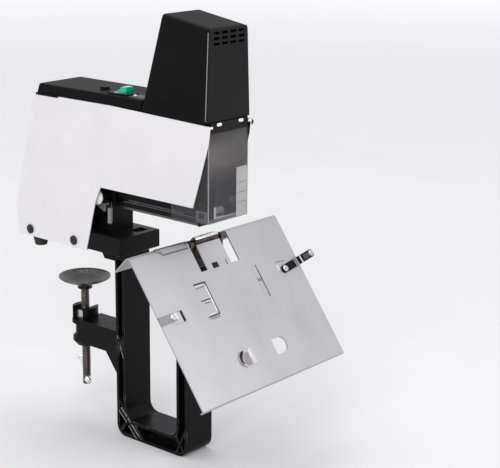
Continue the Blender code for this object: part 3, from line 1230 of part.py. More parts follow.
# Guard, its hinge block, rod and clips
hinge_bore_radius = HINGE_ROD_RADIUS + CLEARANCE
hinge_block_low_z = HINGE_Z - HINGE_BLOCK_DROP
hinge_block_high_z = HINGE_Z + HINGE_BLOCK_RISE
head_front_y = STAPLE_Y - HEAD_BLOCK_FRONT
hinge_block = block("guard_hinge_block",
                    (-HINGE_BLOCK_HALF, HINGE_Y - HINGE_BLOCK_FRONT, hinge_block_low_z),
                    (HINGE_BLOCK_HALF, head_front_y - CLEARANCE, hinge_block_high_z),
                    "black_casting")
hinge_bore = rod("hinge_bore", (-HEAD_WIDTH / 2 + PLATE_THICKNESS, HINGE_Y, HINGE_Z),
                 (HEAD_WIDTH / 2 + OVERRUN, HINGE_Y, HINGE_Z), hinge_bore_radius,
                 segments=SMALL_SEGMENTS)
cut(hinge_block, hinge_bore)
cut(plate_sides["right"], hinge_bore)
hinge_seat_x = HEAD_WIDTH / 2 + CLEARANCE
hinge_rod = rod("guard_hinge_rod", (-PLATE_INNER_X + CLEARANCE, HINGE_Y, HINGE_Z),
                (hinge_seat_x + HINGE_HEAD_LENGTH / 2, HINGE_Y, HINGE_Z), HINGE_ROD_RADIUS,
                "black_plastic", segments=SMALL_SEGMENTS)
join(hinge_rod, rod("hinge_head", (hinge_seat_x, HINGE_Y, HINGE_Z),
                    (hinge_seat_x + HINGE_HEAD_LENGTH, HINGE_Y, HINGE_Z), HINGE_HEAD_RADIUS,
                    segments=SMALL_SEGMENTS))
clip_front_y = HINGE_Y - HINGE_BLOCK_FRONT - CLEARANCE
for label, side in (("left", -1), ("right", 1)):
    clip_x = side * CLIP_HALF_SPACING
    block(f"guard_clip_{label}",
          (clip_x - CLIP_WIDTH / 2, clip_front_y - CLIP_THICKNESS,
           hinge_block_high_z - CLIP_HEIGHT),
          (clip_x + CLIP_WIDTH / 2, clip_front_y, hinge_block_high_z), "bright_steel")
guard_front_y = PLATE_FRONT_Y + GUARD_FRONT_INSET
guard_rear_y = guard_front_y + GUARD_DEPTH
guard_outline = rounded(
    [(-GUARD_HALF, guard_rear_y), (-GUARD_HALF, guard_front_y), (GUARD_HALF, guard_front_y),
     (GUARD_HALF, guard_rear_y), (GUARD_HALF - GUARD_WALL, guard_rear_y),
     (GUARD_HALF - GUARD_WALL, guard_front_y + GUARD_WALL),
     (-GUARD_HALF + GUARD_WALL, guard_front_y + GUARD_WALL),
     (-GUARD_HALF + GUARD_WALL, guard_rear_y)],
    [0, GUARD_ROUND, GUARD_ROUND, 0, 0, GUARD_ROUND - GUARD_WALL,
     GUARD_ROUND - GUARD_WALL, 0], steps=3)
ear_top_z = HINGE_Z + HINGE_ROD_RADIUS * 2
guard = prism("guard", guard_outline, "Z", GUARD_BOTTOM_Z, ear_top_z, "smoky_clear")
ear_rear_y = guard_front_y + GUARD_EAR
guard_front_top_z = HINGE_Z - GUARD_FRONT_TOP_GAP
cut(guard,
    block("guard_front_top", (-HINGE_BLOCK_HALF - CLEARANCE, guard_front_y - OVERRUN,
                              guard_front_top_z),
          (HINGE_BLOCK_HALF + CLEARANCE, guard_rear_y, ear_top_z + OVERRUN)),
    block("guard_side_top", (-GUARD_HALF - OVERRUN, ear_rear_y,
                             guard_front_top_z - GUARD_LIP / 2),
          (GUARD_HALF + OVERRUN, guard_rear_y + OVERRUN, ear_top_z + OVERRUN)),
    block("guard_front_bottom", (-GUARD_HALF + 2 * GUARD_WALL, guard_front_y - OVERRUN,
                                 GUARD_BOTTOM_Z - OVERRUN),
          (GUARD_HALF - 2 * GUARD_WALL, guard_front_y + 2 * GUARD_WALL,
           GUARD_BOTTOM_Z + GUARD_LIP)),
    hinge_bore)
pivot(guard, (0, HINGE_Y, HINGE_Z))

# Depth stop carriage in the rail's groove, its lock knob and the hanging pin
stop_inner_x = -RAIL_HALF - CLEARANCE
stop_outer_x = stop_inner_x - STOP_PLATE
stop_front_y = NECK_FRONT_Y - STOP_LEAD
stop_top_z = stop_bottom_z + STOP_HEIGHT
slider_origin = (stop_inner_x, stop_rear_y, stop_bottom_z)
slider = block("depth_stop_slider", (stop_outer_x, stop_front_y, stop_bottom_z),
               (stop_inner_x, stop_rear_y, stop_top_z), "bright_steel")
lug_high_z = stop_bottom_z + LUG_HEIGHT / 2 + LUG_HEIGHT / 4
lug_low_z = lug_high_z - LUG_HEIGHT
lug_outer_x = stop_outer_x - LUG_WIDTH
join(slider, block("stop_lug", (lug_outer_x, stop_front_y, lug_low_z),
                   (stop_outer_x + STOP_PLATE / 2, stop_front_y + LUG_LENGTH, lug_high_z)))
key_low_z = groove_low_z + CLEARANCE
join(slider, block("stop_key", (stop_inner_x - CLEARANCE, NECK_FRONT_Y + CLEARANCE, key_low_z),
                   (-RAIL_HALF + GROOVE_DEPTH - CLEARANCE * 2, stop_rear_y,
                    groove_low_z + GROOVE_HEIGHT - CLEARANCE)))
pin_x = stop_outer_x - LUG_WIDTH / 2
pin_y = stop_front_y + LUG_LENGTH / 2
pin_axis_z = lug_high_z - LUG_HEIGHT / 2
lug_slot_half = LUG_SLOT / 2
cut(slider, block("lug_slot", (pin_x - lug_slot_half, stop_front_y - OVERRUN,
                               lug_low_z - OVERRUN),
                  (pin_x + lug_slot_half, stop_front_y + LUG_LENGTH + OVERRUN,
                   lug_high_z - STOP_PLATE / 3)),
    rod("pin_axle_hole", (lug_outer_x - OVERRUN, pin_y, pin_axis_z),
        (stop_outer_x + CLEARANCE, pin_y, pin_axis_z), PIN_AXLE_RADIUS + CLEARANCE,
        segments=SMALL_SEGMENTS))
stop_knob_y = NECK_FRONT_Y + STOP_KNOB_SETBACK
stop_knob_z = RAIL_BOTTOM_Z + STOP_KNOB_RISE
cut(slider, rod("stud_hole", (stop_outer_x - OVERRUN, stop_knob_y, stop_knob_z),
                (stop_outer_x + STOP_STUD_LENGTH + CLEARANCE, stop_knob_y, stop_knob_z),
                STOP_STUD_RADIUS + CLEARANCE, segments=SMALL_SEGMENTS))
knob_inner_x = stop_outer_x - CLEARANCE
stop_knob_profile = [(0, STOP_KNOB_LENGTH)]
stop_knob_profile += [(STOP_KNOB_RADIUS * wide, STOP_KNOB_LENGTH * out)
                      for wide, out in STOP_KNOB_SHARES]
stop_knob_profile += [(STOP_STUD_RADIUS, 0), (STOP_STUD_RADIUS, -STOP_STUD_LENGTH),
                      (0, -STOP_STUD_LENGTH)]
turned("stop_knob", stop_knob_profile, (knob_inner_x, stop_knob_y, stop_knob_z),
       "white_plastic", axis="-X")
tang_half = TANG_THICKNESS / 2
pin_top_z = lug_low_z - PIN_HEAD_GAP
pin_bottom_z = pin_axis_z - PIN_LENGTH
stop_pin = rod("stop_pin", (pin_x, pin_y, pin_bottom_z + PIN_RADIUS / 2),
               (pin_x, pin_y, pin_top_z), PIN_RADIUS, "white_plastic",
               segments=SMALL_SEGMENTS)
join(stop_pin,
     rod("pin_tip", (pin_x, pin_y, pin_bottom_z), (pin_x, pin_y, pin_bottom_z
         + PIN_RADIUS), PIN_RADIUS / 2, end_radius=PIN_RADIUS, segments=SMALL_SEGMENTS),
     block("pin_tang", (pin_x - tang_half, pin_y - tang_half, pin_top_z - TANG_THICKNESS),
           (pin_x + tang_half, pin_y + tang_half, pin_axis_z + tang_half)),
     rod("pin_axle", (lug_outer_x + CLEARANCE, pin_y, pin_axis_z),
         (stop_outer_x - CLEARANCE, pin_y, pin_axis_z), PIN_AXLE_RADIUS,
         segments=SMALL_SEGMENTS))
for moved, place in ((slider, slider_origin), (stop_pin, (pin_x, pin_y, pin_axis_z))):
    pivot(moved, place)

# Anvil block with the table's hinge lugs, and the clinching insert
anvil_top_z = RIDGE_Z - ANVIL_DROP
anvil_top_front_y = STAPLE_Y - ANVIL_TOP_HALF
anvil_top_rear_y = STAPLE_Y + ANVIL_TOP_HALF
anvil_nose_y = STAPLE_Y - ANVIL_NOSE
nose_top_z = anvil_top_z - ANVIL_NOSE_DROP
nose_low_z = nose_top_z - ANVIL_NOSE_HEIGHT
table_angle = math.radians(TABLE_ANGLE_DEG)
flange_angle = math.radians(FLANGE_ANGLE_DEG)
under_run = (FRONT_COLUMN_FRONT_Y - anvil_nose_y) * math.tan(table_angle)
rear_run = (FRONT_COLUMN_REAR_Y - anvil_top_rear_y) * math.tan(flange_angle)
anvil_seat_z = FRAME_TOP_Z + CLEARANCE
anvil_block = prism("anvil_block",
                    [(anvil_top_rear_y, anvil_top_z), (anvil_top_front_y, anvil_top_z),
                     (anvil_nose_y, nose_top_z), (anvil_nose_y, nose_low_z),
                     (FRONT_COLUMN_FRONT_Y, nose_low_z - under_run),
                     (FRONT_COLUMN_FRONT_Y, anvil_seat_z),
                     (FRONT_COLUMN_REAR_Y, anvil_seat_z),
                     (FRONT_COLUMN_REAR_Y, anvil_top_z - rear_run)],
                    "X", -ANVIL_HALF, ANVIL_HALF, "dark_steel")
lug_foot_top_z = TABLE_AXIS_Z - LUG_FOOT_DROP
lug_foot = block("lug_foot", (-LUG_OUTER_X, STAPLE_Y - LUG_ROUND / 2,
                              lug_foot_top_z - LUG_FOOT_HEIGHT),
                 (LUG_OUTER_X, STAPLE_Y + 2 * LUG_ROUND, lug_foot_top_z))
join(anvil_block, lug_foot)
for label, side in (("left", -1), ("right", 1)):
    inner, outer = sorted((side * LUG_INNER_X, side * LUG_OUTER_X))
    join(anvil_block,
         rod(f"lug_round_{label}", (inner, STAPLE_Y, TABLE_AXIS_Z),
             (outer, STAPLE_Y, TABLE_AXIS_Z), LUG_ROUND, segments=ROUND_SEGMENTS),
         block(f"lug_post_{label}", (inner, STAPLE_Y - LUG_ROUND / 2,
                                     lug_foot_top_z - LUG_FOOT_HEIGHT / 2),
               (outer, STAPLE_Y + LUG_ROUND * LUG_POST_SHARE, TABLE_AXIS_Z)))
    cut(anvil_block, rod(f"lug_bore_{label}", (inner - OVERRUN / 2, STAPLE_Y, TABLE_AXIS_Z),
                         (outer + OVERRUN / 2, STAPLE_Y, TABLE_AXIS_Z),
                         PIVOT_PIN_RADIUS + CLEARANCE, segments=SMALL_SEGMENTS))
insert_half_y = INSERT_THICKNESS / 2
cut(anvil_block, block("insert_seat",
                       (-INSERT_HALF - CLEARANCE, STAPLE_Y - insert_half_y - CLEARANCE,
                        anvil_top_z - INSERT_DEPTH - CLEARANCE),
                       (INSERT_HALF + CLEARANCE, STAPLE_Y + insert_half_y + CLEARANCE,
                        anvil_top_z + OVERRUN)))
anvil_insert = block("anvil_insert",
                     (-INSERT_HALF, STAPLE_Y - insert_half_y, anvil_top_z - INSERT_DEPTH),
                     (INSERT_HALF, STAPLE_Y + insert_half_y, anvil_top_z), "bright_steel")
for side in (-1, 1):
    cut(anvil_insert, rod(f"clinch_groove_{side}",
                          (side * STAPLE_WIDTH / 4, STAPLE_Y, anvil_top_z + INSERT_THICKNESS),
                          (side * STAPLE_WIDTH / 4, STAPLE_Y, anvil_top_z - STAPLE_WIRE),
                          INSERT_THICKNESS * 2, end_radius=STAPLE_WIRE,
                          segments=SMALL_SEGMENTS))

# Saddle table, drawn flat about its hinge and leaned by the table angle
table_pivot = bpy.data.objects.new("table_pivot", None)
parts.objects.link(table_pivot)
table_pivot.location = (0, STAPLE_Y, TABLE_AXIS_Z)
table_pivot.rotation_euler = (table_angle, 0, 0)
ridge_y = TABLE_AXIS_DROP * math.sin(table_angle)
ridge_z = TABLE_AXIS_DROP * math.cos(table_angle)
bend = flange_angle + table_angle
half_table = TABLE_WIDTH / 2
sheet = bmesh.new()
sheet_path = rounded([(ridge_y - TABLE_FRONT, ridge_z - TABLE_LIP),
                      (ridge_y - TABLE_FRONT, ridge_z), (ridge_y, ridge_z),
                      (ridge_y + TABLE_FLANGE * math.cos(-bend),
                       ridge_z + TABLE_FLANGE * math.sin(-bend))],
                     [0, LIP_BEND, RIDGE_BEND, 0], steps=RIDGE_STEPS)
rows = [[sheet.verts.new((x, y, z)) for x in (-half_table, half_table)]
        for y, z in sheet_path]
for first, second in zip(rows, rows[1:]):
    sheet.faces.new((first[0], first[1], second[1], second[0]))
sheet_data = bpy.data.meshes.new("table_plate")
sheet.to_mesh(sheet_data)
sheet.free()
table_plate = shell(add_object("table_plate", sheet_data, "table_steel"), TABLE_SHEET)


def on_table(x, s, above=0.0):
    """Point of the table from the centre line, the distance below the ridge and the face."""
    return Vector((x, ridge_y - s, ridge_z + above))


def table_block(name, x0, x1, s0, s1, low, high, look=None):
    return block(name, on_table(x0, s1, low), on_table(x1, s0, high), look)


through_low = -TABLE_SHEET - OVERRUN / 2
table_cutters = [
    table_block("saddle_gap", -SADDLE_LEFT, SADDLE_RIGHT, -TABLE_FLANGE, TONGUE_START,
                -TABLE_FLANGE - OVERRUN, OVERRUN),
    table_block("slot_left", -SADDLE_LEFT, -TONGUE_LEFT, 0, TABLE_SLOT_END, through_low,
                OVERRUN),
    table_block("slot_right", TONGUE_RIGHT, SADDLE_RIGHT, 0, TABLE_SLOT_END, through_low,
                OVERRUN)]
hole_half_width = SQUARE_HOLE_WIDTH / 2
hole_half_length = SQUARE_HOLE_LENGTH / 2
half_bridge = BRIDGE_WIDTH / 2
half_slit = SLIT / 2
half_guide_slot = GUIDE_SLOT_WIDTH / 2
table_cutters += [
    table_block("square_hole", SQUARE_HOLE_X - hole_half_width,
                SQUARE_HOLE_X + hole_half_width, SQUARE_HOLE_S - hole_half_length,
                SQUARE_HOLE_S + hole_half_length, through_low, OVERRUN),
    table_block("short_slit", SLIT_X - half_slit, SLIT_X + half_slit,
                SQUARE_HOLE_S - hole_half_length, SQUARE_HOLE_S + hole_half_length,
                through_low, OVERRUN),
    table_block("long_slit_left", BRIDGE_X + half_bridge - SLIT, BRIDGE_X + half_bridge,
                BRIDGE_S, BRIDGE_S + BRIDGE_SPAN, through_low, OVERRUN),
    table_block("long_slit_right", RIGHT_SLIT_X - half_slit, RIGHT_SLIT_X + half_slit,
                BRIDGE_S, BRIDGE_S + BRIDGE_SPAN, through_low, OVERRUN),
    table_block("guide_slot", GUIDE_SLOT_X - half_guide_slot,
                GUIDE_SLOT_X + half_guide_slot, GUIDE_SLOT_S,
                GUIDE_SLOT_S + GUIDE_SLOT_LENGTH, through_low, OVERRUN)]
for index in range(BRIDGE_COUNT):
    mid = BRIDGE_S + half_slit + (BRIDGE_SPAN - SLIT) * index / (BRIDGE_COUNT - 1)
    table_cutters.append(table_block(
        f"bridge_slit_{index}", BRIDGE_X - half_bridge,
        BRIDGE_X + half_bridge - half_slit, mid - half_slit, mid + half_slit,
        through_low, OVERRUN))
arc_x = HOLE_LEFT_X + HOLE_WIDTH - HOLE_RADIUS
hole_y = ridge_y - HOLE_S
hole_points = [(HOLE_LEFT_X, hole_y - HOLE_RADIUS)]
for step in range(2 * CORNER_STEPS + 1):
    turn = math.pi * (step / (2 * CORNER_STEPS) - 1 / 2)
    hole_points.append((arc_x + HOLE_RADIUS * math.cos(turn),
                        hole_y + HOLE_RADIUS * math.sin(turn)))
hole_points.append((HOLE_LEFT_X, hole_y + HOLE_RADIUS))
table_cutters.append(prism("finger_hole", hole_points, "Z", ridge_z + through_low,
                           ridge_z + OVERRUN))
finger_tab = prism("finger_tab", [(-x, y) for x, y in hole_points], "Z",
                   ridge_z - TABLE_SHEET / 2, ridge_z + TAB_RISE)
for cutter in table_cutters:
    cut(table_plate, cutter)
ears = []
for label, side, edge in (("left", -1, SADDLE_LEFT), ("right", 1, SADDLE_RIGHT)):
    inner, outer = sorted((side * (edge + CLEARANCE),
                           side * (edge + CLEARANCE + EAR_THICKNESS)))
    ears.append(rod(f"ear_{label}", (inner, 0, 0), (outer, 0, 0), EAR_RADIUS))
join(table_plate, finger_tab, *ears)
for label, side, edge in (("left", -1, SADDLE_LEFT), ("right", 1, SADDLE_RIGHT)):
    start_x = side * (LUG_INNER_X - CLEARANCE * 2)
    end_x = side * (edge + EAR_THICKNESS + PIVOT_PIN_RADIUS)
    pin = rod(f"table_pivot_pin_{label}", (start_x, 0, 0), (end_x, 0, 0), PIVOT_PIN_RADIUS,
              "bright_steel", segments=SMALL_SEGMENTS)
    pin.parent = table_pivot
    ear_bore = rod(f"ear_bore_{label}", (side * (edge - OVERRUN / 2), 0, 0),
                   (side * (edge + EAR_THICKNESS + OVERRUN / 2), 0, 0),
                   PIVOT_PIN_RADIUS + CLEARANCE, segments=SMALL_SEGMENTS)
    ear_bore.parent = table_pivot
    cut(table_plate, ear_bore)
for piece in table_cutters + ears + [finger_tab, table_plate]:
    piece.parent = table_pivot


def guide(name, outline, rivet_x, rivet_s, low, top, look):
    """Side guide lying on the table, turning on its rivet."""
    made = pivot(prism(name, [(x, ridge_y - s) for x, s in outline], "Z", ridge_z + low,
                       ridge_z + top, look), on_table(rivet_x, rivet_s))
    high = low + GUIDE_THICKNESS
    bore_radius = RIVET_RADIUS + CLEARANCE
    hole = rod(name + "_hole", on_table(rivet_x, rivet_s, through_low),
               on_table(rivet_x, rivet_s, top + OVERRUN), bore_radius,
               segments=SMALL_SEGMENTS)
    rivet_top = high + CLEARANCE + RIVET_HEAD_HEIGHT
    rivet = turned(name + "_rivet",
                   [(0, rivet_top), (RIVET_HEAD_RADIUS * RIVET_TOP_SHARE, rivet_top),
                    (RIVET_HEAD_RADIUS, high + CLEARANCE + RIVET_HEAD_HEIGHT / 3),
                    (RIVET_HEAD_RADIUS, high + CLEARANCE), (RIVET_RADIUS, high + CLEARANCE),
                    (RIVET_RADIUS, -TABLE_SHEET), (0, -TABLE_SHEET)],
                   on_table(rivet_x, rivet_s), "bright_steel", steps=SMALL_SEGMENTS)
    for piece in (made, hole, rivet):
        piece.parent = table_pivot
    cut(made, hole)
    cut(table_plate, hole)
    return made


guide_low = CLEARANCE
guide_high = CLEARANCE + GUIDE_THICKNESS
half_guide = GUIDE_WIDTH / 2
left_inner_x = LEFT_GUIDE_X + half_guide
left_outer_x = left_inner_x - LEFT_GUIDE_LENGTH
left_guide = guide("left_guide",
                   rounded([(left_outer_x, LEFT_GUIDE_S - half_guide),
                            (left_inner_x, LEFT_GUIDE_S - half_guide),
                            (left_inner_x, LEFT_GUIDE_S + half_guide),
                            (left_outer_x, LEFT_GUIDE_S + half_guide)],
                           [0, half_guide * GUIDE_END_SHARE,
                            half_guide * GUIDE_END_SHARE, 0]),
                   LEFT_GUIDE_X, LEFT_GUIDE_S, guide_low, guide_high, "bright_steel")
right_inner_x = RIGHT_GUIDE_X - half_guide
right_step_x = RIGHT_GUIDE_X + RIGHT_GUIDE_STEP_AT
right_outer_x = right_inner_x + RIGHT_GUIDE_LENGTH
step_low = guide_low + RIGHT_GUIDE_STEP
right_guide = guide("right_guide",
                    rounded([(right_inner_x, RIGHT_GUIDE_S - half_guide),
                             (right_outer_x, RIGHT_GUIDE_S - half_guide),
                             (right_outer_x, RIGHT_GUIDE_S + half_guide),
                             (right_inner_x, RIGHT_GUIDE_S + half_guide)],
                            half_guide * GUIDE_END_SHARE),
                    RIGHT_GUIDE_X, RIGHT_GUIDE_S, guide_low, step_low + GUIDE_THICKNESS,
                    "black_casting")
guide_place = on_table(RIGHT_GUIDE_X, RIGHT_GUIDE_S)
guide_bend = pivot(
    prism("guide_bend",
          [(right_inner_x - OVERRUN, ridge_z + guide_low),
           (right_step_x, ridge_z + guide_low), (right_step_x, ridge_z + step_low),
           (right_outer_x + OVERRUN, ridge_z + step_low),
           (right_outer_x + OVERRUN, ridge_z + step_low + GUIDE_THICKNESS),
           (right_step_x - GUIDE_THICKNESS, ridge_z + step_low + GUIDE_THICKNESS),
           (right_step_x - GUIDE_THICKNESS, ridge_z + guide_high),
           (right_inner_x - OVERRUN, ridge_z + guide_high)],
          "Y", ridge_y - RIGHT_GUIDE_S - GUIDE_WIDTH, ridge_y - RIGHT_GUIDE_S + GUIDE_WIDTH),
    guide_place)
guide_turn = math.radians(RIGHT_GUIDE_ANGLE_DEG)
knob_reach = right_outer_x - half_guide - RIGHT_GUIDE_X
knob_place = guide_place + Vector((knob_reach * math.cos(guide_turn),
                                   knob_reach * math.sin(guide_turn), 0))
stud_seat = step_low + GUIDE_THICKNESS + CLEARANCE
guide_stud = turned("right_guide_knob",
                    [(0, stud_seat + RIVET_HEAD_HEIGHT),
                     (RIVET_HEAD_RADIUS * RIVET_TOP_SHARE, stud_seat + RIVET_HEAD_HEIGHT),
                     (RIVET_HEAD_RADIUS, stud_seat), (RIVET_RADIUS, stud_seat),
                     (RIVET_RADIUS, step_low - RIVET_HEAD_HEIGHT),
                     (0, step_low - RIVET_HEAD_HEIGHT)],
                    knob_place, "bright_steel", steps=SMALL_SEGMENTS)
bore_low = knob_place + Vector((0, 0, step_low - OVERRUN))
bore_high = knob_place + Vector((0, 0, stud_seat + OVERRUN))
knob_bore = rod("guide_knob_bore", bore_low, bore_high, RIVET_RADIUS + CLEARANCE,
                segments=SMALL_SEGMENTS)
for piece in (right_guide, guide_bend):
    piece.rotation_euler = (0, 0, guide_turn)
for piece in (guide_bend, guide_stud, knob_bore):
    piece.parent = table_pivot
cut(boolean(right_guide, guide_bend, "INTERSECT"), knob_bore)
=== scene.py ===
"""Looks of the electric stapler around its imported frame: materials, small fittings, camera and light."""
import math

import bmesh
import bpy
from mathutils import Matrix, Vector
from mathutils.bvhtree import BVHTree


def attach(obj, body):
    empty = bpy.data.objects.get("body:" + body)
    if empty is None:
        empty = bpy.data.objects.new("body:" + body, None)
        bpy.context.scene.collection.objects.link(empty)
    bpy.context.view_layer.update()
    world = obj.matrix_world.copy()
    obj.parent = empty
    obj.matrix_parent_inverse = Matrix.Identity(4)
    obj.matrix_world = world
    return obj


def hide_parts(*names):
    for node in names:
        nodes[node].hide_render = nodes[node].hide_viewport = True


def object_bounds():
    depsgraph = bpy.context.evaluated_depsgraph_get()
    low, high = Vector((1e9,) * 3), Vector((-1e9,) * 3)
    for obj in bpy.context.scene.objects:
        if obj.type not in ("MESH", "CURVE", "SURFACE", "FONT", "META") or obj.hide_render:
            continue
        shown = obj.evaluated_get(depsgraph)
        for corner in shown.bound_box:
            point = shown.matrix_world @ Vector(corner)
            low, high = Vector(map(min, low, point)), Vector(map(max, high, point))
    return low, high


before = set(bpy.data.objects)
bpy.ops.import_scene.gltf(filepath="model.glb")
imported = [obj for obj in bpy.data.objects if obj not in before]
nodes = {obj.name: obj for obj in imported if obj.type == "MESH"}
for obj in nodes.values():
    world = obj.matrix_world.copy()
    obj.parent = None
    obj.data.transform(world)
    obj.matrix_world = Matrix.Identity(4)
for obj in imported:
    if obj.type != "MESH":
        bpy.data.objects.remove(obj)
cad_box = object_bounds()

# Camera at the photo's angle
AZIMUTH = math.radians(-50.05)
ELEVATION = math.radians(15.42)
ROLL = math.radians(0.6)
CAMERA_PLACE = (-1.13687, -1.20980, 0.47307)
FOCAL_LENGTH, SENSOR_WIDTH = 103.59, 36
back = Vector((math.sin(AZIMUTH) * math.cos(ELEVATION), -math.cos(AZIMUTH) * math.cos(ELEVATION),
               math.sin(ELEVATION)))
right = Vector((math.cos(AZIMUTH), math.sin(AZIMUTH), 0))
up = back.cross(right)
right, up = right * math.cos(ROLL) + up * math.sin(ROLL), up * math.cos(ROLL) - right * math.sin(ROLL)
camera = bpy.data.objects.new("camera", bpy.data.cameras.new("camera"))
bpy.context.scene.collection.objects.link(camera)
camera.matrix_world = Matrix.Translation(CAMERA_PLACE) @ Matrix((right, up, back)).transposed().to_4x4()
camera.data.sensor_width = SENSOR_WIDTH
camera.data.lens = FOCAL_LENGTH
camera.data.clip_start = 0.05
camera.data.clip_end = 60
bpy.context.scene.camera = camera
bpy.context.scene.view_settings.view_transform = "Standard"


# Materials
class Look:
    """A Principled material under construction, with its node helpers."""

    def __init__(self, name):
        self.material = bpy.data.materials.new(name)
        self.material.use_nodes = True
        self.tree = self.material.node_tree
        self.shader = self.tree.nodes["Principled BSDF"]
        self.coords = self.tree.nodes.new("ShaderNodeTexCoord").outputs["Object"]

    def node(self, kind, **values):
        made = self.tree.nodes.new(kind)
        for key, value in values.items():
            setattr(made, key, value)
        return made

    def link(self, source, target):
        self.tree.links.new(source, target)

    def feed(self, socket, value):
        """Sets a socket to a number or a colour, or links another socket to it."""
        if isinstance(value, tuple):
            socket.default_value = (*value, 1)
        elif isinstance(value, (int, float)):
            socket.default_value = value
        else:
            self.link(value, socket)

    def stretched(self, scale):
        mapping = self.node("ShaderNodeMapping")
        mapping.inputs["Scale"].default_value = scale
        self.link(self.coords, mapping.inputs["Vector"])
        return mapping.outputs["Vector"]

    def noise(self, scale, detail=2.0, rough=0.5, vector=None, distortion=0.0):
        made = self.node("ShaderNodeTexNoise")
        made.inputs["Scale"].default_value = scale
        made.inputs["Detail"].default_value = detail
        made.inputs["Roughness"].default_value = rough
        made.inputs["Distortion"].default_value = distortion
        self.link(vector or self.coords, made.inputs["Vector"])
        return made.outputs["Fac"]

    def ramp(self, source, low, high, out_low=0.0, out_high=1.0):
        """A socket's range from low to high, mapped to out_low to out_high."""
        made = self.node("ShaderNodeMapRange")
        for key, value in {"From Min": low, "From Max": high, "To Min": out_low, "To Max": out_high}.items():
            made.inputs[key].default_value = value
        self.link(source, made.inputs["Value"])
        return made.outputs["Result"]

    def maths(self, operation, first, second):
        made = self.node("ShaderNodeMath", operation=operation)
        self.feed(made.inputs[0], first)
        self.feed(made.inputs[1], second)
        return made.outputs["Value"]

    def mix(self, factor, first, second):
        """The first colour blended into the second by a factor socket."""
        made = self.node("ShaderNodeMix", data_type="RGBA")
        color_a, color_b, color_result = 6, 7, 2
        self.link(factor, made.inputs[0])
        self.feed(made.inputs[color_a], first)
        self.feed(made.inputs[color_b], second)
        return made.outputs[color_result]

    def edge(self, radius, low=0.02, high=0.25):
        """A mask that is 1 on the sharp outer edges within radius."""
        rounded = self.node("ShaderNodeBevel", samples=6)
        rounded.inputs["Radius"].default_value = radius
        flat = self.node("ShaderNodeNewGeometry")
        dot = self.node("ShaderNodeVectorMath", operation="DOT_PRODUCT")
        self.link(rounded.outputs["Normal"], dot.inputs[0])
        self.link(flat.outputs["Normal"], dot.inputs[1])
        return self.ramp(self.maths("SUBTRACT", 1.0, dot.outputs["Value"]), low, high)

    def relief(self, layers, soft=0.0):
        """Bump from layers of (height socket, distance in metres), over edges rounded by soft metres."""
        normal = None
        if soft:
            rounded = self.node("ShaderNodeBevel", samples=5)
            rounded.inputs["Radius"].default_value = soft
            normal = rounded.outputs["Normal"]
        for height, distance in layers:
            bump = self.node("ShaderNodeBump")
            bump.inputs["Strength"].default_value = 1.0
            bump.inputs["Distance"].default_value = distance
            self.link(height, bump.inputs["Height"])
            if normal:
                self.link(normal, bump.inputs["Normal"])
            normal = bump.outputs["Normal"]
        self.link(normal, self.shader.inputs["Normal"])

    def set(self, **values):
        """Sets the shader's inputs to numbers, colours or sockets."""
        names = {"color": "Base Color", "rough": "Roughness", "metal": "Metallic",
                 "specular": "Specular IOR Level", "coat": "Coat Weight", "coat_rough": "Coat Roughness",
                 "alpha": "Alpha", "emission": "Emission Strength", "glow": "Emission Color"}
        for key, value in values.items():
            self.feed(self.shader.inputs[names[key]], value)


def white_enamel():
    """White powder coat with a fine grain, rubbed grey on its edges."""
    look = Look("white_powder_coat")
    cloud = look.noise(22, 3)
    dust = look.noise(340, 4, 0.6)
    color = look.mix(look.ramp(cloud, 0.3, 0.7), (0.83, 0.80, 0.835), (0.875, 0.845, 0.875))
    color = look.mix(look.maths("MULTIPLY", look.edge(0.0006), look.ramp(dust, 0.45, 0.7, 0, 0.55)),
                     color, (0.46, 0.45, 0.46))
    look.set(color=color, rough=look.ramp(dust, 0.3, 0.7, 0.36, 0.5), specular=0.45)
    look.relief([(look.noise(1500, 2), 0.00004), (look.noise(260, 1), 0.00003)], 0.0004)
    return look.material


def grey_enamel():
    """Grey satin paint, a little uneven."""
    look = Look("grey_satin_paint")
    dust = look.noise(420, 3)
    look.set(color=look.mix(look.ramp(look.noise(30), 0.3, 0.7), (0.50, 0.50, 0.52), (0.58, 0.58, 0.60)),
             rough=look.ramp(dust, 0.3, 0.7, 0.4, 0.56))
    look.relief([(look.noise(1400, 2), 0.00004)], 0.0005)
    return look.material


def moulded(name, dark, pale, rough, grain=1.0, specular=0.35):
    """Injection moulding with a spark-eroded grain, slight flow clouds and rubbed edges."""
    look = Look(name)
    grains = look.noise(1900, 3, 0.65)
    cloud = look.noise(16, 3, 0.5)
    color = look.mix(look.ramp(cloud, 0.35, 0.7), dark, pale)
    rub = look.maths("MULTIPLY", look.edge(0.0009), look.ramp(look.noise(160, 4), 0.35, 0.7, 0.1, 0.8))
    color = look.mix(rub, color, tuple(min(1, 3.2 * c) for c in pale))
    look.set(color=color, specular=specular,
             rough=look.maths("ADD", look.ramp(grains, 0.3, 0.7, rough - 0.05, rough + 0.07),
                              look.ramp(cloud, 0.3, 0.7, -0.03, 0.03)))
    look.relief([(grains, 0.00005 * grain), (look.noise(60, 1), 0.00006)], 0.0006)
    return look.material


# Corners of the casting near which the arrises get a painted highlight: (place, reach)
HIGHLIGHT_CORNERS = (((-0.02, -0.092, -0.191), 0.036), ((-0.02, -0.080, -0.101), 0.027),
               ((-0.02, -0.176, -0.196), 0.022))


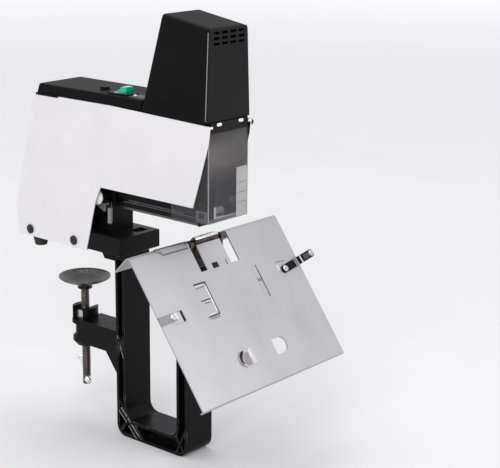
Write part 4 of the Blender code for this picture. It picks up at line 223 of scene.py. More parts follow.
def black_casting():
    """Black enamel over a sand casting: long waves and orange peel; arrises painted lighter, as rubbed paint
    and as painted highlight, with strong painted highlights near the rib corners.
    """
    look = Look("black_enamel_casting")
    wave = look.noise(85, 3, 0.55)
    peel = look.noise(620, 2, 0.5)
    # arrises painted lighter all over: partly rubbed paint, partly painted highlight
    rub = look.maths("MULTIPLY", look.edge(0.0012), look.ramp(look.noise(110, 5, 0.6), 0.46, 0.68))
    color = look.mix(look.ramp(look.noise(28, 3), 0.3, 0.7), (0.0028, 0.0027, 0.0031),
                     (0.0052, 0.0048, 0.0052))
    color = look.mix(rub, color, (0.05, 0.048, 0.048))
    near = None
    for place, reach in HIGHLIGHT_CORNERS:
        distance = look.node("ShaderNodeVectorMath", operation="DISTANCE")
        look.link(look.coords, distance.inputs[0])
        distance.inputs[1].default_value = place
        spot = look.ramp(distance.outputs["Value"], reach * 0.8, reach, 1.0, 0.0)
        near = spot if near is None else look.maths("MAXIMUM", near, spot)
    # painted highlight on the arrises near the rib corners, broken into streaks
    corner_highlight = look.maths("MULTIPLY", look.edge(0.0009, 0.05, 0.3), near)
    streak = look.ramp(look.noise(75, 3, 0.6), 0.42, 0.62)
    look.set(color=look.mix(look.maths("MULTIPLY", corner_highlight, streak), color, (0.42, 0.41, 0.41)), specular=0.1,
             rough=look.ramp(look.noise(240, 4), 0.3, 0.7, 0.3, 0.42))
    look.relief([(wave, 0.00016), (peel, 0.00002)])
    return look.material


def black_sheet():
    """Black paint over smooth sheet, rubbed thin on its edges."""
    look = Look("black_sheet_paint")
    peel = look.noise(1100, 2)
    rub = look.maths("MULTIPLY", look.edge(0.0006), look.ramp(look.noise(200, 4), 0.42, 0.7))
    look.set(color=look.mix(rub, (0.004, 0.004, 0.0045), (0.07, 0.066, 0.062)), specular=0.1,
             rough=look.ramp(look.noise(190, 3), 0.3, 0.7, 0.26, 0.42))
    look.relief([(peel, 0.00003)], 0.0005)
    return look.material


def satin_steel():
    """Rolled satin sheet: fine lengthwise grain, soft clouds and faint handling marks."""
    look = Look("table_satin_steel")
    grain = look.noise(900, 3, 0.6, look.stretched((0.05, 1, 1)))
    cloud = look.noise(11, 4, 0.55, distortion=0.6)
    smear = look.noise(34, 3, 0.6, look.stretched((1, 0.35, 0.35)))
    color = look.mix(look.ramp(cloud, 0.32, 0.7), (0.415, 0.408, 0.425), (0.455, 0.448, 0.462))
    color = look.mix(look.ramp(grain, 0.3, 0.72, 0, 0.12), color, (0.35, 0.345, 0.36))
    look.set(color=color, metal=1.0,
             rough=look.maths("ADD", look.ramp(grain, 0.3, 0.7, 0.36, 0.42),
                              look.ramp(smear, 0.35, 0.7, -0.05, 0.06)))
    look.relief([(grain, 0.00001), (cloud, 0.0003)])
    return look.material


def bright_steel(name="bright_zinc_steel", tint=(0.60, 0.59, 0.585), rough=0.22):
    """Plated or bare steel with short scratches and dull blooms."""
    look = Look(name)
    scratch = look.noise(1300, 4, 0.65, look.stretched((1, 0.25, 0.25)))
    bloom = look.noise(120, 4, 0.6)
    color = look.mix(look.ramp(bloom, 0.35, 0.72, 0, 0.5), tint, tuple(c * 0.72 for c in tint))
    look.set(color=color, metal=1.0,
             rough=look.maths("ADD", look.ramp(scratch, 0.3, 0.7, rough - 0.05, rough + 0.08),
                              look.ramp(bloom, 0.3, 0.7, -0.04, 0.08)))
    return look.material


def burnished_steel(name="burnished_steel", dark=(0.055, 0.047, 0.042), pale=(0.13, 0.115, 0.10)):
    """Oiled dark steel with rubbed bright arrises and turning marks."""
    look = Look(name)
    stain = look.noise(70, 5, 0.62)
    turn = look.noise(1500, 2, 0.5, look.stretched((0.2, 0.2, 1)))
    color = look.mix(look.ramp(stain, 0.32, 0.7), dark, pale)
    rub = look.maths("MULTIPLY", look.edge(0.001), look.ramp(look.noise(150, 3), 0.35, 0.65, 0.2, 0.9))
    look.set(color=look.mix(rub, color, (0.40, 0.385, 0.37)), metal=1.0,
             rough=look.ramp(stain, 0.3, 0.7, 0.24, 0.4))
    look.relief([(turn, 0.00003), (stain, 0.00006)], 0.0006)
    return look.material


def saucer_steel():
    """Pressed pad: painted shade darkening its middle, paler towards the rim, with stains and turning rings.
    """
    look = Look("pad_steel")
    flat = look.stretched((1, 1, 0))
    distance = look.node("ShaderNodeVectorMath", operation="LENGTH")
    look.link(flat, distance.inputs[0])
    radius = distance.outputs["Value"]
    stain = look.noise(95, 5, 0.62, distortion=0.8)
    rings = look.noise(900, 2, 0.5, look.stretched((0.12, 0.12, 1)))
    # painted shade: darker towards the middle of the dish, paler towards its rim, mixed with stains
    shade_and_stain = look.maths("ADD", look.ramp(radius, 0.013, 0.031, 0.0, 0.8),
                          look.ramp(stain, 0.3, 0.7, -0.25, 0.25))
    color = look.mix(look.ramp(shade_and_stain, 0.0, 1.0), (0.024, 0.02, 0.017), (0.17, 0.165, 0.16))
    look.set(color=color, metal=1.0, rough=look.ramp(stain, 0.3, 0.7, 0.26, 0.42))
    look.relief([(rings, 0.00003), (stain, 0.00012)], 0.0005)
    return look.material


def rubber():
    """Matt black rubber."""
    look = Look("black_rubber")
    grain = look.noise(1100, 4, 0.7)
    look.set(color=look.mix(look.ramp(look.noise(90, 3), 0.35, 0.7), (0.017, 0.017, 0.018),
                            (0.032, 0.031, 0.031)),
             rough=look.ramp(grain, 0.3, 0.7, 0.62, 0.8), specular=0.3)
    look.relief([(grain, 0.00006)], 0.0006)
    return look.material


def white_moulding():
    """Smooth white plastic."""
    look = Look("white_moulding")
    look.set(color=look.mix(look.ramp(look.noise(120, 3), 0.35, 0.7), (0.90, 0.885, 0.885),
                            (0.84, 0.825, 0.825)),
             rough=look.ramp(look.noise(700, 3), 0.3, 0.7, 0.3, 0.42))
    look.relief([(look.noise(900, 2), 0.00003)], 0.0005)
    return look.material


def green_lens(name="green_translucent", deep=(0.0, 0.20, 0.11), pale=(0.004, 0.30, 0.175)):
    """Glossy green lens with a faint glow of its own."""
    look = Look(name)
    look.set(color=look.mix(look.ramp(look.noise(240, 2), 0.3, 0.7), deep, pale),
             rough=look.ramp(look.noise(500, 2), 0.3, 0.7, 0.12, 0.22), coat=0.5, coat_rough=0.05,
             glow=(0.0, 0.30, 0.18), emission=0.12)
    look.relief([(look.noise(300, 1), 0.00003)], 0.0006)
    return look.material


def smoky_sheet(name, alpha, color):
    """See-through sheet with a thin haze."""
    look = Look(name)
    haze = look.noise(26, 4, 0.55)
    look.set(color=look.mix(look.ramp(haze, 0.3, 0.7), color, tuple(c * 1.35 for c in color)),
             rough=look.ramp(look.noise(300, 4, 0.6), 0.3, 0.7, 0.05, 0.12), alpha=alpha, specular=0.5)
    look.relief([(look.noise(45, 2), 0.00008)], 0.0004)
    return look.material


def printed_film():
    """Smoked film on the guard's front: darker above, clearer below, hazy at the foot."""
    look = Look("guard_film")
    clear, smoked = 0.106, 0.140
    split = look.node("ShaderNodeSeparateXYZ")
    look.link(look.coords, split.inputs[0])
    level = look.maths("ADD", split.outputs["Z"], look.ramp(look.noise(30, 3), 0.3, 0.7, -0.006, 0.006))
    upper = look.ramp(level, clear, smoked)
    foot = look.ramp(split.outputs["Z"], 0.0778, 0.0800, 1.0, 0.0)
    side = look.ramp(split.outputs["X"], -0.032, 0.02)
    color = look.mix(upper, look.mix(foot, (0.042, 0.042, 0.048), (0.11, 0.105, 0.112)),
                     look.mix(side, (0.125, 0.112, 0.112), (0.082, 0.074, 0.074)))
    color = look.mix(look.ramp(level, 0.158, 0.172), color, (0.042, 0.038, 0.038))
    look.set(color=color, rough=look.ramp(look.noise(200, 3), 0.3, 0.7, 0.16, 0.26), specular=0.35,
             alpha=look.maths("ADD", look.ramp(level, clear, smoked, 0.22, 0.93),
                              look.maths("MULTIPLY", foot, 0.6)))
    return look.material


def taped_copper():
    """Turns of tape over a copper winding."""
    look = Look("taped_winding")
    wrap = look.node("ShaderNodeTexWave", bands_direction="Z")
    wrap.inputs["Scale"].default_value = 90
    look.link(look.coords, wrap.inputs["Vector"])
    look.set(color=look.mix(wrap.outputs["Fac"], (0.34, 0.16, 0.06), (0.52, 0.29, 0.10)), rough=0.42)
    look.relief([(wrap.outputs["Fac"], 0.0002)])
    return look.material


def board_green():
    """Green lacquer with the tracks showing through."""
    look = Look("board_lacquer")
    track = look.noise(190, 1, 0.5)
    look.set(color=look.mix(look.ramp(track, 0.48, 0.52), (0.012, 0.10, 0.045), (0.02, 0.15, 0.06)),
             rough=0.3)
    look.relief([(track, 0.00004)])
    return look.material


WHITE = white_enamel()
GREY = grey_enamel()
CASTING = black_casting()
SHEET = black_sheet()
# One black moulding in two copies: the front panel's copy is painted lighter than the sides' and top's, as
# painted light
TOWER = moulded("black_moulding_side", (0.0036, 0.0034, 0.0035), (0.0056, 0.0052, 0.0054), 0.5,
                specular=0.07)
PANEL_PAINTED_LIT = moulded("black_moulding_front_painted_lit", (0.0085, 0.0078, 0.0082), (0.0125, 0.0112, 0.012), 0.46,
                specular=0.1)
BLACK = moulded("black_moulding_small", (0.006, 0.0056, 0.006), (0.010, 0.0094, 0.010), 0.42, specular=0.12)
BEZEL = moulded("grey_textured_patch", (0.062, 0.052, 0.055), (0.105, 0.09, 0.095), 0.55, grain=3.0)
RUBBER = rubber()
STEEL = satin_steel()
BRIGHT = bright_steel()
CHROME = bright_steel("bright_chrome", (0.86, 0.86, 0.87), 0.12)
DARK = burnished_steel()
PALE = white_moulding()
GREEN = green_lens()
SMOKE = smoky_sheet("smoky_clear", 0.2, (0.10, 0.097, 0.10))
COPPER = taped_copper()
BOARD = board_green()
# pale grey for the tower's joint bead: painted highlight
JOINT_HIGHLIGHT = moulded("joint_painted_highlight", (0.22, 0.215, 0.215), (0.27, 0.265, 0.265), 0.4)
FILM = printed_film()
STRIP = smoky_sheet("pale_strip", 0.9, (0.36, 0.34, 0.345))
EDGE_LIGHT = moulded("lit_edge", (0.20, 0.195, 0.20), (0.28, 0.275, 0.28), 0.3)
HAZE = smoky_sheet("hazy_clear", 0.5, (0.30, 0.285, 0.30))
LINE = moulded("dark_line", (0.03, 0.026, 0.026), (0.05, 0.044, 0.042), 0.5)
# near black painted as shade in recesses and holes, and on the right plate's inner face
RECESS_SHADE = moulded("painted_recess_shade", (0.006, 0.006, 0.006), (0.01, 0.01, 0.01), 0.6)
BRACKET = moulded("blued_bracket", (0.045, 0.048, 0.06), (0.075, 0.078, 0.092), 0.4)
THREAD = bright_steel("oiled_thread", (0.12, 0.10, 0.085), 0.26)
BRIGHT_SHEET = bright_steel("bright_sheet", (0.80, 0.795, 0.80), 0.2)
SADDLE_CUP = saucer_steel()
# dark steel painted as shade in and behind the table's slots
SLOT_SHADE = burnished_steel("slot_painted_shade", (0.022, 0.016, 0.013), (0.045, 0.034, 0.028))
PIN = moulded("pin_moulding", (0.26, 0.235, 0.225), (0.33, 0.305, 0.29), 0.4)
GREEN_TOP = green_lens("green_crown", (0.0, 0.36, 0.22), (0.02, 0.52, 0.35))
INSET = moulded("lever_inset", (0.03, 0.034, 0.048), (0.05, 0.055, 0.072), 0.35)
# bright steel painted on the table's raised bars, bends and folds as painted highlight
STEEL_HIGHLIGHT = bright_steel("steel_painted_highlight", (0.66, 0.645, 0.645), 0.3)
STOWED = bright_steel("oiled_sheet", (0.13, 0.13, 0.14), 0.35)
# darker steel: the left guide's own tone, and painted shade on the table's forms
GUIDE_AND_SHADE = bright_steel("guide_steel_and_painted_shade", (0.27, 0.26, 0.27), 0.36)
GREY_TAB = moulded("grey_tab", (0.12, 0.115, 0.115), (0.19, 0.18, 0.18), 0.4)
# pale strips painted as highlights on arrises and on the rail's groove
ARRIS_HIGHLIGHT = moulded("painted_arris_highlight", (0.30, 0.29, 0.30), (0.46, 0.45, 0.46), 0.35)
DULL_ARRIS_HIGHLIGHT = moulded("painted_dull_highlight", (0.085, 0.08, 0.08), (0.14, 0.135, 0.135), 0.4)

# Which node wears which material
DRESS = {
    WHITE: ("side_plate_left", "side_plate_right"),
    GREY: ("rear_cover", "base_plate"),
    CASTING: ("frame_casting", "base_casting"),
    SHEET: ("arm_rail", "floor_plate", "head_block", "right_guide"),
    TOWER: ("tower_shell", "top_cover"),
    PANEL_PAINTED_LIT: ("tower_front_panel",),
    BLACK: ("power_inlet", "follower", "force_knob", "guard_hinge_rod", "guard_hinge_block", "switch_bezel",
            "nose_plate", "depth_stop_slider", "stop_knob"),
    RUBBER: ("plate_cap_left_front", "plate_cap_left_rear", "plate_cap_right_front", "plate_cap_right_rear",
             "foot_rear_left", "foot_rear_right"),
    STEEL: ("table_plate",),
    BRIGHT: ("staple_strip", "follower_spring", "driver_blade", "plunger", "return_spring", "anvil_insert",
             "left_guide_rivet", "right_guide_rivet", "right_guide_knob", "table_pivot_pin_left",
             "table_pivot_pin_right", "clamp_nut"),
    CHROME: ("tommy_bar", "tommy_ball_near", "tommy_ball_far"),
    SADDLE_CUP: ("clamp_pad",),
    STOWED: ("magazine",),
    GUIDE_AND_SHADE: ("left_guide",),
    DARK: ("clamp_screw", "solenoid_yoke", "anvil_block"),
    PALE: ("guard_clip_left", "guard_clip_right"),
    PIN: ("stop_pin",),
    GREEN: ("rocker",),
    SMOKE: ("guard",),
    COPPER: ("solenoid_coil",),
    BOARD: ("circuit_board",),
}
for material, names in DRESS.items():
    for name in names:
        nodes[name].data.materials.clear()
        nodes[name].data.materials.append(material)


# Rounded edges, from these angles in degrees upwards
CAD_EDGE_ANGLE, FITTING_EDGE_ANGLE = 32, 30


def round_edges(obj, width, angle):
    rounded = obj.modifiers.new("rounded", "BEVEL")
    rounded.width = width
    rounded.segments = 2
    rounded.limit_method = "ANGLE"
    rounded.angle_limit = math.radians(angle)


def soften(name, width):
    """Rounds the sharp edges of a CAD node."""
    obj = nodes[name]
    weld = obj.modifiers.new("weld", "WELD")
    weld.merge_threshold = 0.00001
    flat = obj.modifiers.new("flat", "DECIMATE")
    flat.decimate_type = "DISSOLVE"
    flat.angle_limit = math.radians(1)
    round_edges(obj, width, CAD_EDGE_ANGLE)
    weighted = obj.modifiers.new("weighted", "WEIGHTED_NORMAL")
    weighted.mode = "FACE_AREA"
    weighted.weight = 100


SOFTEN = {
    0.0008: ("frame_casting", "base_casting"),
    0.0005: ("top_cover", "rear_cover", "anvil_block"),
    0.0004: ("tower_shell", "tower_front_panel", "guard_hinge_block", "arm_rail"),
    0.0003: ("side_plate_left", "side_plate_right", "table_plate", "right_guide", "left_guide",
             "depth_stop_slider", "switch_bezel", "guard"),
}
for width, names in SOFTEN.items():
    for name in names:
        soften(name, width)


# Makers of small fittings
def piece(name, form, material, body, bevel=0.0, smooth=38):
    """Adds a closed piece from a bmesh form, rounded by bevel metres, riding on a body."""
    bmesh.ops.remove_doubles(form, verts=form.verts, dist=0.000001)
    bmesh.ops.recalc_face_normals(form, faces=form.faces)
    mesh = bpy.data.meshes.new(name)
    form.to_mesh(mesh)
    form.free()
    mesh.polygons.foreach_set("use_smooth", [True] * len(mesh.polygons))
    mesh.set_sharp_from_angle(angle=math.radians(smooth))
    obj = bpy.data.objects.new(name, mesh)
    bpy.context.scene.collection.objects.link(obj)
    mesh.materials.append(material)
    if bevel:
        round_edges(obj, bevel, FITTING_EDGE_ANGLE)
    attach(obj, body)
    return obj


class Place:
    """A local frame: an origin and three axes."""

    def __init__(self, origin, across, along, out):
        self.origin = Vector(origin)
        self.axes = Vector(across), Vector(along), Vector(out)

    def at(self, a, b, c):
        return self.origin + self.axes[0] * a + self.axes[1] * b + self.axes[2] * c

    def moved(self, x, y, z):
        """The same axes about another origin."""
        return Place((x, y, z), *self.axes)


FRONT = Place((0, 0, 0), (1, 0, 0), (0, 0, 1), (0, -1, 0))
LEFT = Place((0, 0, 0), (0, -1, 0), (0, 0, 1), (-1, 0, 0))
RIGHT = Place((0, 0, 0), (0, 1, 0), (0, 0, 1), (1, 0, 0))
ABOVE = Place((0, 0, 0), (1, 0, 0), (0, 1, 0), (0, 0, 1))


def skin(made, rings):
    """Joins closed rings of vertices, each to the next, and caps both ends."""
    made.faces.new(rings[0])
    made.faces.new(rings[-1])
    for one, two in zip(rings, rings[1:]):
        for k in range(len(one)):
            n = (k + 1) % len(one)
            made.faces.new((one[k], one[n], two[n], two[k]))
    return made


def slab(place, outline, low, high, made=None):
    """A prism over an outline of (across, along) points, from low to high outwards."""
    made = made or bmesh.new()
    return skin(made, [[made.verts.new(place.at(a, b, level)) for a, b in outline] for level in (low, high)])


def oblong(x0, x1, y0, y1, corner=0.0, steps=4):
    """A rectangle's outline with rounded corners."""
    if not corner:
        return [(x0, y0), (x1, y0), (x1, y1), (x0, y1)]
    points = []
    for cx, cy, start in ((x1 - corner, y1 - corner, 0), (x0 + corner, y1 - corner, 90),
                          (x0 + corner, y0 + corner, 180), (x1 - corner, y0 + corner, 270)):
        for k in range(steps + 1):
            angle = math.radians(start + 90 * k / steps)
            points.append((cx + corner * math.cos(angle), cy + corner * math.sin(angle)))
    return points


def plate(name, place, span, levels, material, body, bevel=0.0):
    """A flat piece: span is what oblong takes, levels are its inner and outer face."""
    return piece(name, slab(place, oblong(*span), *levels), material, body, bevel)


def bar(start, end, wide, low, high, made=None):
    """A straight strip on the frame's left side, between two (forward, up) points."""
    (a, b), (c, d) = start, end
    run = Vector((c - a, d - b)).normalized() * wide / 2
    side = Vector((-run.y, run.x))
    return slab(LEFT, [(a + side.x, b + side.y), (c + side.x, d + side.y), (c - side.x, d - side.y),
                       (a - side.x, b - side.y)], low, high, made)


def turned(place, profile, segments):
    """A lathe form about the out axis: profile is (radius, level) points, closed on the axis."""
    made = bmesh.new()
    rings = []
    for radius, level in profile:
        if radius <= 0:
            rings.append([made.verts.new(place.at(0, 0, level))])
        else:
            rings.append([made.verts.new(place.at(radius * math.cos(math.tau * k / segments),
                                                  radius * math.sin(math.tau * k / segments), level))
                          for k in range(segments)])
    for one, two in zip(rings, rings[1:]):
        for k in range(segments):
            n = (k + 1) % segments
            quad = [one[k % len(one)], one[n % len(one)], two[n % len(two)], two[k % len(two)]]
            face = [v for i, v in enumerate(quad) if v not in quad[:i]]
            if len(face) > 2:
                made.faces.new(face)
    return made


def screw_head(name, place, radius, height):
    """A bright pan head with a cross recess painted in as dark shade, on the frame."""
    head = turned(place, ((radius, 0), (radius, height * 0.35), (radius * 0.9, height * 0.75),
                          (radius * 0.6, height), (0, height)), 24)
    piece(name, head, BRIGHT, "frame")
    cross = bmesh.new()
    reach, half_slot = radius * 0.55, radius * 0.13
    for a, b in ((reach, half_slot), (half_slot, reach)):
        slab(place, oblong(-a, a, -b, b), height * 0.93, height * 1.04, cross)
    piece(name + "_recess", cross, RECESS_SHADE, "frame")


surfaces = {}


def surface_of(name):
    """The surface of a node, to cast rays at."""
    if name not in surfaces:
        copy = bmesh.new()
        copy.from_mesh(nodes[name].data)
        surfaces[name] = BVHTree.FromBMesh(copy)
        copy.free()
    return surfaces[name]


def patch(place, corners, lift, target):
    """A thin pressed form that follows a node's surface: corners in order, lift is its height."""
    made = bmesh.new()
    tree = surface_of(target)
    sink, cells_across, cells_along = 0.0002, 10, 4
    ray_start, ray_length = 0.02, 0.06
    a, b, c, d = [Vector(p) for p in corners]
    rows = []
    for level in (-sink, lift):
        rows.append([])
        for j in range(cells_along + 1):
            for i in range(cells_across + 1):
                u, v = i / cells_across, j / cells_along
                point = a.lerp(b, u).lerp(d.lerp(c, u), v)
                far = place.at(point.x, point.y, ray_start)
                hit = tree.ray_cast(far, -place.axes[2], ray_length)
                base = hit[0] if hit[0] is not None else place.at(point.x, point.y, 0)
                rows[-1].append(made.verts.new(base + place.axes[2] * level))
    wide = cells_across + 1
    for grid in rows:
        for j in range(cells_along):
            for i in range(cells_across):
                k = j * wide + i
                made.faces.new((grid[k], grid[k + 1], grid[k + 1 + wide], grid[k + wide]))
    rim = (list(range(cells_across)) + [cells_across + j * wide for j in range(cells_along)]
           + [cells_along * wide + i for i in range(cells_across, 0, -1)]
           + [j * wide for j in range(cells_along, 0, -1)])
    for one, two in zip(rim, rim[1:] + rim[:1]):
        made.faces.new((rows[0][one], rows[0][two], rows[1][two], rows[1][one]))
    return made


# Tower: a bead at the joint of front panel and shell, painted pale as a highlight, from (outwards, y) points
# and (z, half width) ends
JOINT_SECTION = ((-0.0004, -0.2243), (0, -0.2243), (0.00025, -0.2239), (0.0003, -0.2237),
                 (0.00025, -0.2235), (0, -0.2232), (-0.0004, -0.2232))
TOWER_FOOT, TOWER_HEAD = (0.1862, 0.03422), (0.2785, 0.02998)
for side, sign in (("left", -1), ("right", 1)):
    made = bmesh.new()
    rings = []
    for z, half_width in (TOWER_FOOT, TOWER_HEAD):
        x = sign * (half_width + 0.00005)
        rings.append([made.verts.new((x + sign * outwards, y, z)) for outwards, y in JOINT_SECTION])
    piece("tower_joint_" + side, skin(made, rings), JOINT_HIGHLIGHT, "frame")

# Side plates: the folded tab at each front top corner
for side, x0, x1 in (("left", -0.0342, -0.0288), ("right", 0.0288, 0.0342)):
    plate("plate_tab_" + side, FRONT, (x0, x1, 0.1783, 0.1809, 0.0008), (0.2288, 0.23), WHITE,
          "frame", 0.0003)

# Guard: printed film on its front, a pale strip at the right, lit edges, a corner box and the foot
FILM_LEVELS = (0.22585, 0.22605)
FILM_LEFT, SEAM, STRIP_RIGHT = -0.0306, 0.0138, 0.0316
FILM_FOOT, STRIP_TOP, FILM_TOP = 0.0753, 0.1300, 0.1722
plate("guard_printed_film", FRONT, (FILM_LEFT, SEAM, FILM_FOOT, FILM_TOP, 0.0005), FILM_LEVELS, FILM,
      "guard_cover")
plate("guard_printed_film_upper", FRONT, (SEAM, STRIP_RIGHT, STRIP_TOP, FILM_TOP, 0.0005), FILM_LEVELS, FILM,
      "guard_cover")
plate("guard_pale_strip", FRONT, (SEAM, STRIP_RIGHT, FILM_FOOT, STRIP_TOP, 0.0003), FILM_LEVELS, STRIP,
      "guard_cover")
STRIP_LINES, LINE_HEIGHT = (0.0905, 0.1015, 0.1125), 0.0004
made = bmesh.new()
for level in STRIP_LINES:
    slab(FRONT, oblong(0.0155, 0.0305, level, level + LINE_HEIGHT), 0.22595, 0.22612, made)
piece("guard_strip_lines", made, LINE, "guard_cover")
plate("guard_dark_edge", FRONT, (0.0318, 0.0323, 0.0745, 0.172), (0.2259, 0.22605), LINE, "guard_cover")
plate("guard_edge_left", FRONT, (-0.0323, -0.0307, 0.0765, 0.1715, 0.0005), (0.2257, 0.22605), EDGE_LIGHT,
      "guard_cover", 0.0001)
plate("guard_edge_bottom", FRONT, (-0.0305, STRIP_RIGHT, 0.0744, 0.0752, 0.0003), (0.2257, 0.22605),
      EDGE_LIGHT, "guard_cover")
plate("guard_corner_box", LEFT, (0.2065, 0.2225, 0.0762, 0.0872, 0.0012), (0.0292, 0.0302), HAZE,
      "guard_cover", 0.0003)
plate("guard_corner_socket", LEFT, (0.2105, 0.2185, 0.0790, 0.0848, 0.001), (0.0300, 0.03045), LINE,
      "guard_cover")
plate("guard_foot", ABOVE, (-0.0303, -0.0130, -0.2236, -0.2050, 0.0012), (0.0743, 0.0755), HAZE,
      "guard_cover", 0.0003)

# Guard clips: slim and rounded, in place of the plain ones
CLIP_CENTRE, CLIP_HALF = 0.0175, 0.0036
for side, centre in (("left", -CLIP_CENTRE), ("right", CLIP_CENTRE)):
    clip = plate("guard_clip_cap_" + side, FRONT,
                 (centre - CLIP_HALF, centre + CLIP_HALF, 0.1798, 0.1832, 0.0014, 6), (0.2279, 0.2292), PALE,
                 "frame", 0.0004)
    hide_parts("guard_clip_" + side)

# Black sheet painted as shade between the right side plate and the guard, following the plate's front edge
LINER_LEVELS = (0.128, 0.135, 0.142, 0.150, 0.158, 0.166, 0.1745, 0.1795)
PLATE_MIDDLE_X, BEFORE_PLATE_Y = 0.0334, -0.26
LINER_START, LINER_END = 0.0002, 0.012
front_edge = []
for level in LINER_LEVELS:
    hit = surface_of("side_plate_right").ray_cast(Vector((PLATE_MIDDLE_X, BEFORE_PLATE_Y, level)),
                                                  Vector((0, 1, 0)))
    front_edge.append((hit[0].y, level))
outline = ([(y + LINER_START, z) for y, z in front_edge]
           + [(y + LINER_END, z) for y, z in reversed(front_edge)])
piece("guard_liner_right", slab(RIGHT, outline, 0.03252, 0.03277), RECESS_SHADE, "frame")

# Cover skirts over the rear of each side plate
for side, place, start, end in (("left", LEFT, -0.0392, -0.0019), ("right", RIGHT, 0.0019, 0.0392)):
    plate("cover_skirt_" + side, place, (start, end, 0.1838, 0.1864, 0.0004), (0.0340, 0.0345), TOWER,
          "frame", 0.0001)

# Anvil: bright worn cap over the top and nose, with a locating hole and the clinching slot painted in as
# dark shade
ANVIL_PROFILE = ((-0.1912, 0.0517), (-0.1948, 0.0517), (-0.1960, 0.0499), (-0.1960, 0.0493),
                 (-0.19625, 0.0493), (-0.19625, 0.0500), (-0.1949, 0.0520), (-0.1912, 0.0520))
piece("anvil_cap", slab(RIGHT, ANVIL_PROFILE, -0.0183, 0.0183), BRIGHT_SHEET, "frame", 0.0001)
piece("anvil_hole", turned(ABOVE.moved(0.0125, -0.1930, 0.0520), (
    (0.0009, -0.0001), (0.0009, 0.00005), (0, 0.00005), (0, -0.0001)), 16), RECESS_SHADE, "frame")
plate("anvil_slot", ABOVE, (-0.0115, 0.0105, -0.19395, -0.19225, 0.0006), (0.0516, 0.05206), RECESS_SHADE, "frame")

# Depth stop: white cap on the knob, grey tab under it; lit lower lip and floor of the rail's groove
piece("stop_knob_cap", turned(LEFT.moved(-0.0271, -0.0525, 0.0758), (
    (0.0088, -0.0004), (0.0092, 0.0004), (0.0090, 0.0014), (0.0080, 0.0021), (0.0055, 0.0026),
    (0.0, 0.0028), (0, -0.0004)), 40), PALE, "lock_knob")
TAB_OUTLINE = [(0.0455, 0.0655), (0.0610, 0.0590), (0.0630, 0.0600), (0.0630, 0.0690), (0.0455, 0.0690)]
piece("stop_tab", slab(LEFT, TAB_OUTLINE, 0.0234, 0.0249), GREY_TAB, "depth_stop", 0.0004)
plate("stop_tab_boss", LEFT, (0.0565, 0.0605, 0.0622, 0.0662, 0.001), (0.0247, 0.0262), GREY_TAB,
      "depth_stop", 0.0004)
# the groove's lip and floor strips are painted highlights
plate("rail_groove_lip", LEFT, (0.0800, 0.1890, 0.0717, 0.0726, 0.0002), (0.0119, 0.01225), DULL_ARRIS_HIGHLIGHT,
      "frame", 0.0001)
plate("rail_groove_floor", LEFT, (0.0860, 0.1880, 0.0731, 0.0747, 0.0006), (0.0104, 0.0107), DULL_ARRIS_HIGHLIGHT,
      "frame")

# Frame: diagonal rib across the rear corner and crossed ribs at the arm, with painted highlights along their
# arrises
RIB_FACE, RIB_STEP = 0.0212, 0.0002
CORNER_RIB_WIDTH, ARM_RIB_WIDTH = 0.007, 0.0026
corner_rib = bar((0.0778, -0.17855), (0.1075, -0.20825), CORNER_RIB_WIDTH, 0.0175, RIB_FACE)
piece("frame_corner_rib", corner_rib, CASTING, "frame", 0.0005)


def painted_arris_highlight(name, wide, stand, runs):
    """Strips painted pale as highlights along a rib's edge, standing a little above its face."""
    made = bmesh.new()
    for start, end in runs:
        bar(start, end, wide, RIB_FACE - RIB_STEP, RIB_FACE + stand, made)
    piece(name, made, ARRIS_HIGHLIGHT, "frame")


painted_arris_highlight("frame_rib_arris_upper", 0.0009, 0.00015, (
    ((0.0798, -0.1766), (0.0890, -0.1858)), ((0.0908, -0.1876), (0.0947, -0.1915)),
    ((0.0970, -0.1938), (0.1092, -0.2060))))
painted_arris_highlight("frame_rib_arris_lower", 0.0007, 0.0001, (
    ((0.0764, -0.1811), (0.0883, -0.1930)), ((0.0921, -0.1968), (0.1046, -0.2093))))
arm_ribs = bar((0.0750, -0.0877), (0.0853, -0.1158), ARM_RIB_WIDTH, 0.0195, RIB_FACE)
bar((0.0853, -0.0820), (0.0750, -0.1200), ARM_RIB_WIDTH, 0.0195, RIB_FACE - RIB_STEP, arm_ribs)
piece("frame_arm_ribs", arm_ribs, CASTING, "frame", 0.0003)
painted_arris_highlight("frame_arm_arris", 0.0007, 0.00012, (
    ((0.0796, -0.0995), (0.0820, -0.1061)), ((0.0824, -0.1072), (0.0849, -0.1140)),
    ((0.0752, -0.0883), (0.0764, -0.0915))))

# Nose bracket on the front of the head block, seen through the guard
HEAD_FRONT = 0.215
BRACKET_FRONT = HEAD_FRONT + 0.0035
piece("nose_bracket", slab(FRONT, [(-0.0105, 0.0885), (0.0030, 0.0885), (0.0030, 0.0765), (0.0225, 0.0765),
                                   (0.0225, 0.1247), (-0.0105, 0.1247)], HEAD_FRONT, BRACKET_FRONT),
      BRACKET, "frame", 0.0004)
plate("nose_bracket_pad", FRONT, (0.0104, 0.0206, 0.0892, 0.0968, 0.0008),
      (HEAD_FRONT + 0.0032, HEAD_FRONT + 0.0041), CHROME, "frame", 0.0003)
piece("nose_tab", slab(FRONT, [(-0.0102, 0.0757), (0.0025, 0.0757), (0.0025, 0.0857), (-0.0062, 0.0885),
                               (-0.0102, 0.0885)], HEAD_FRONT + 0.0022, HEAD_FRONT + 0.0034),
      CHROME, "frame", 0.0003)
for k, x in enumerate((-0.006, 0.018)):
    screw_head("nose_bracket_screw_%d" % k, FRONT.moved(x, -BRACKET_FRONT, 0.1195), 0.0024, 0.0013)

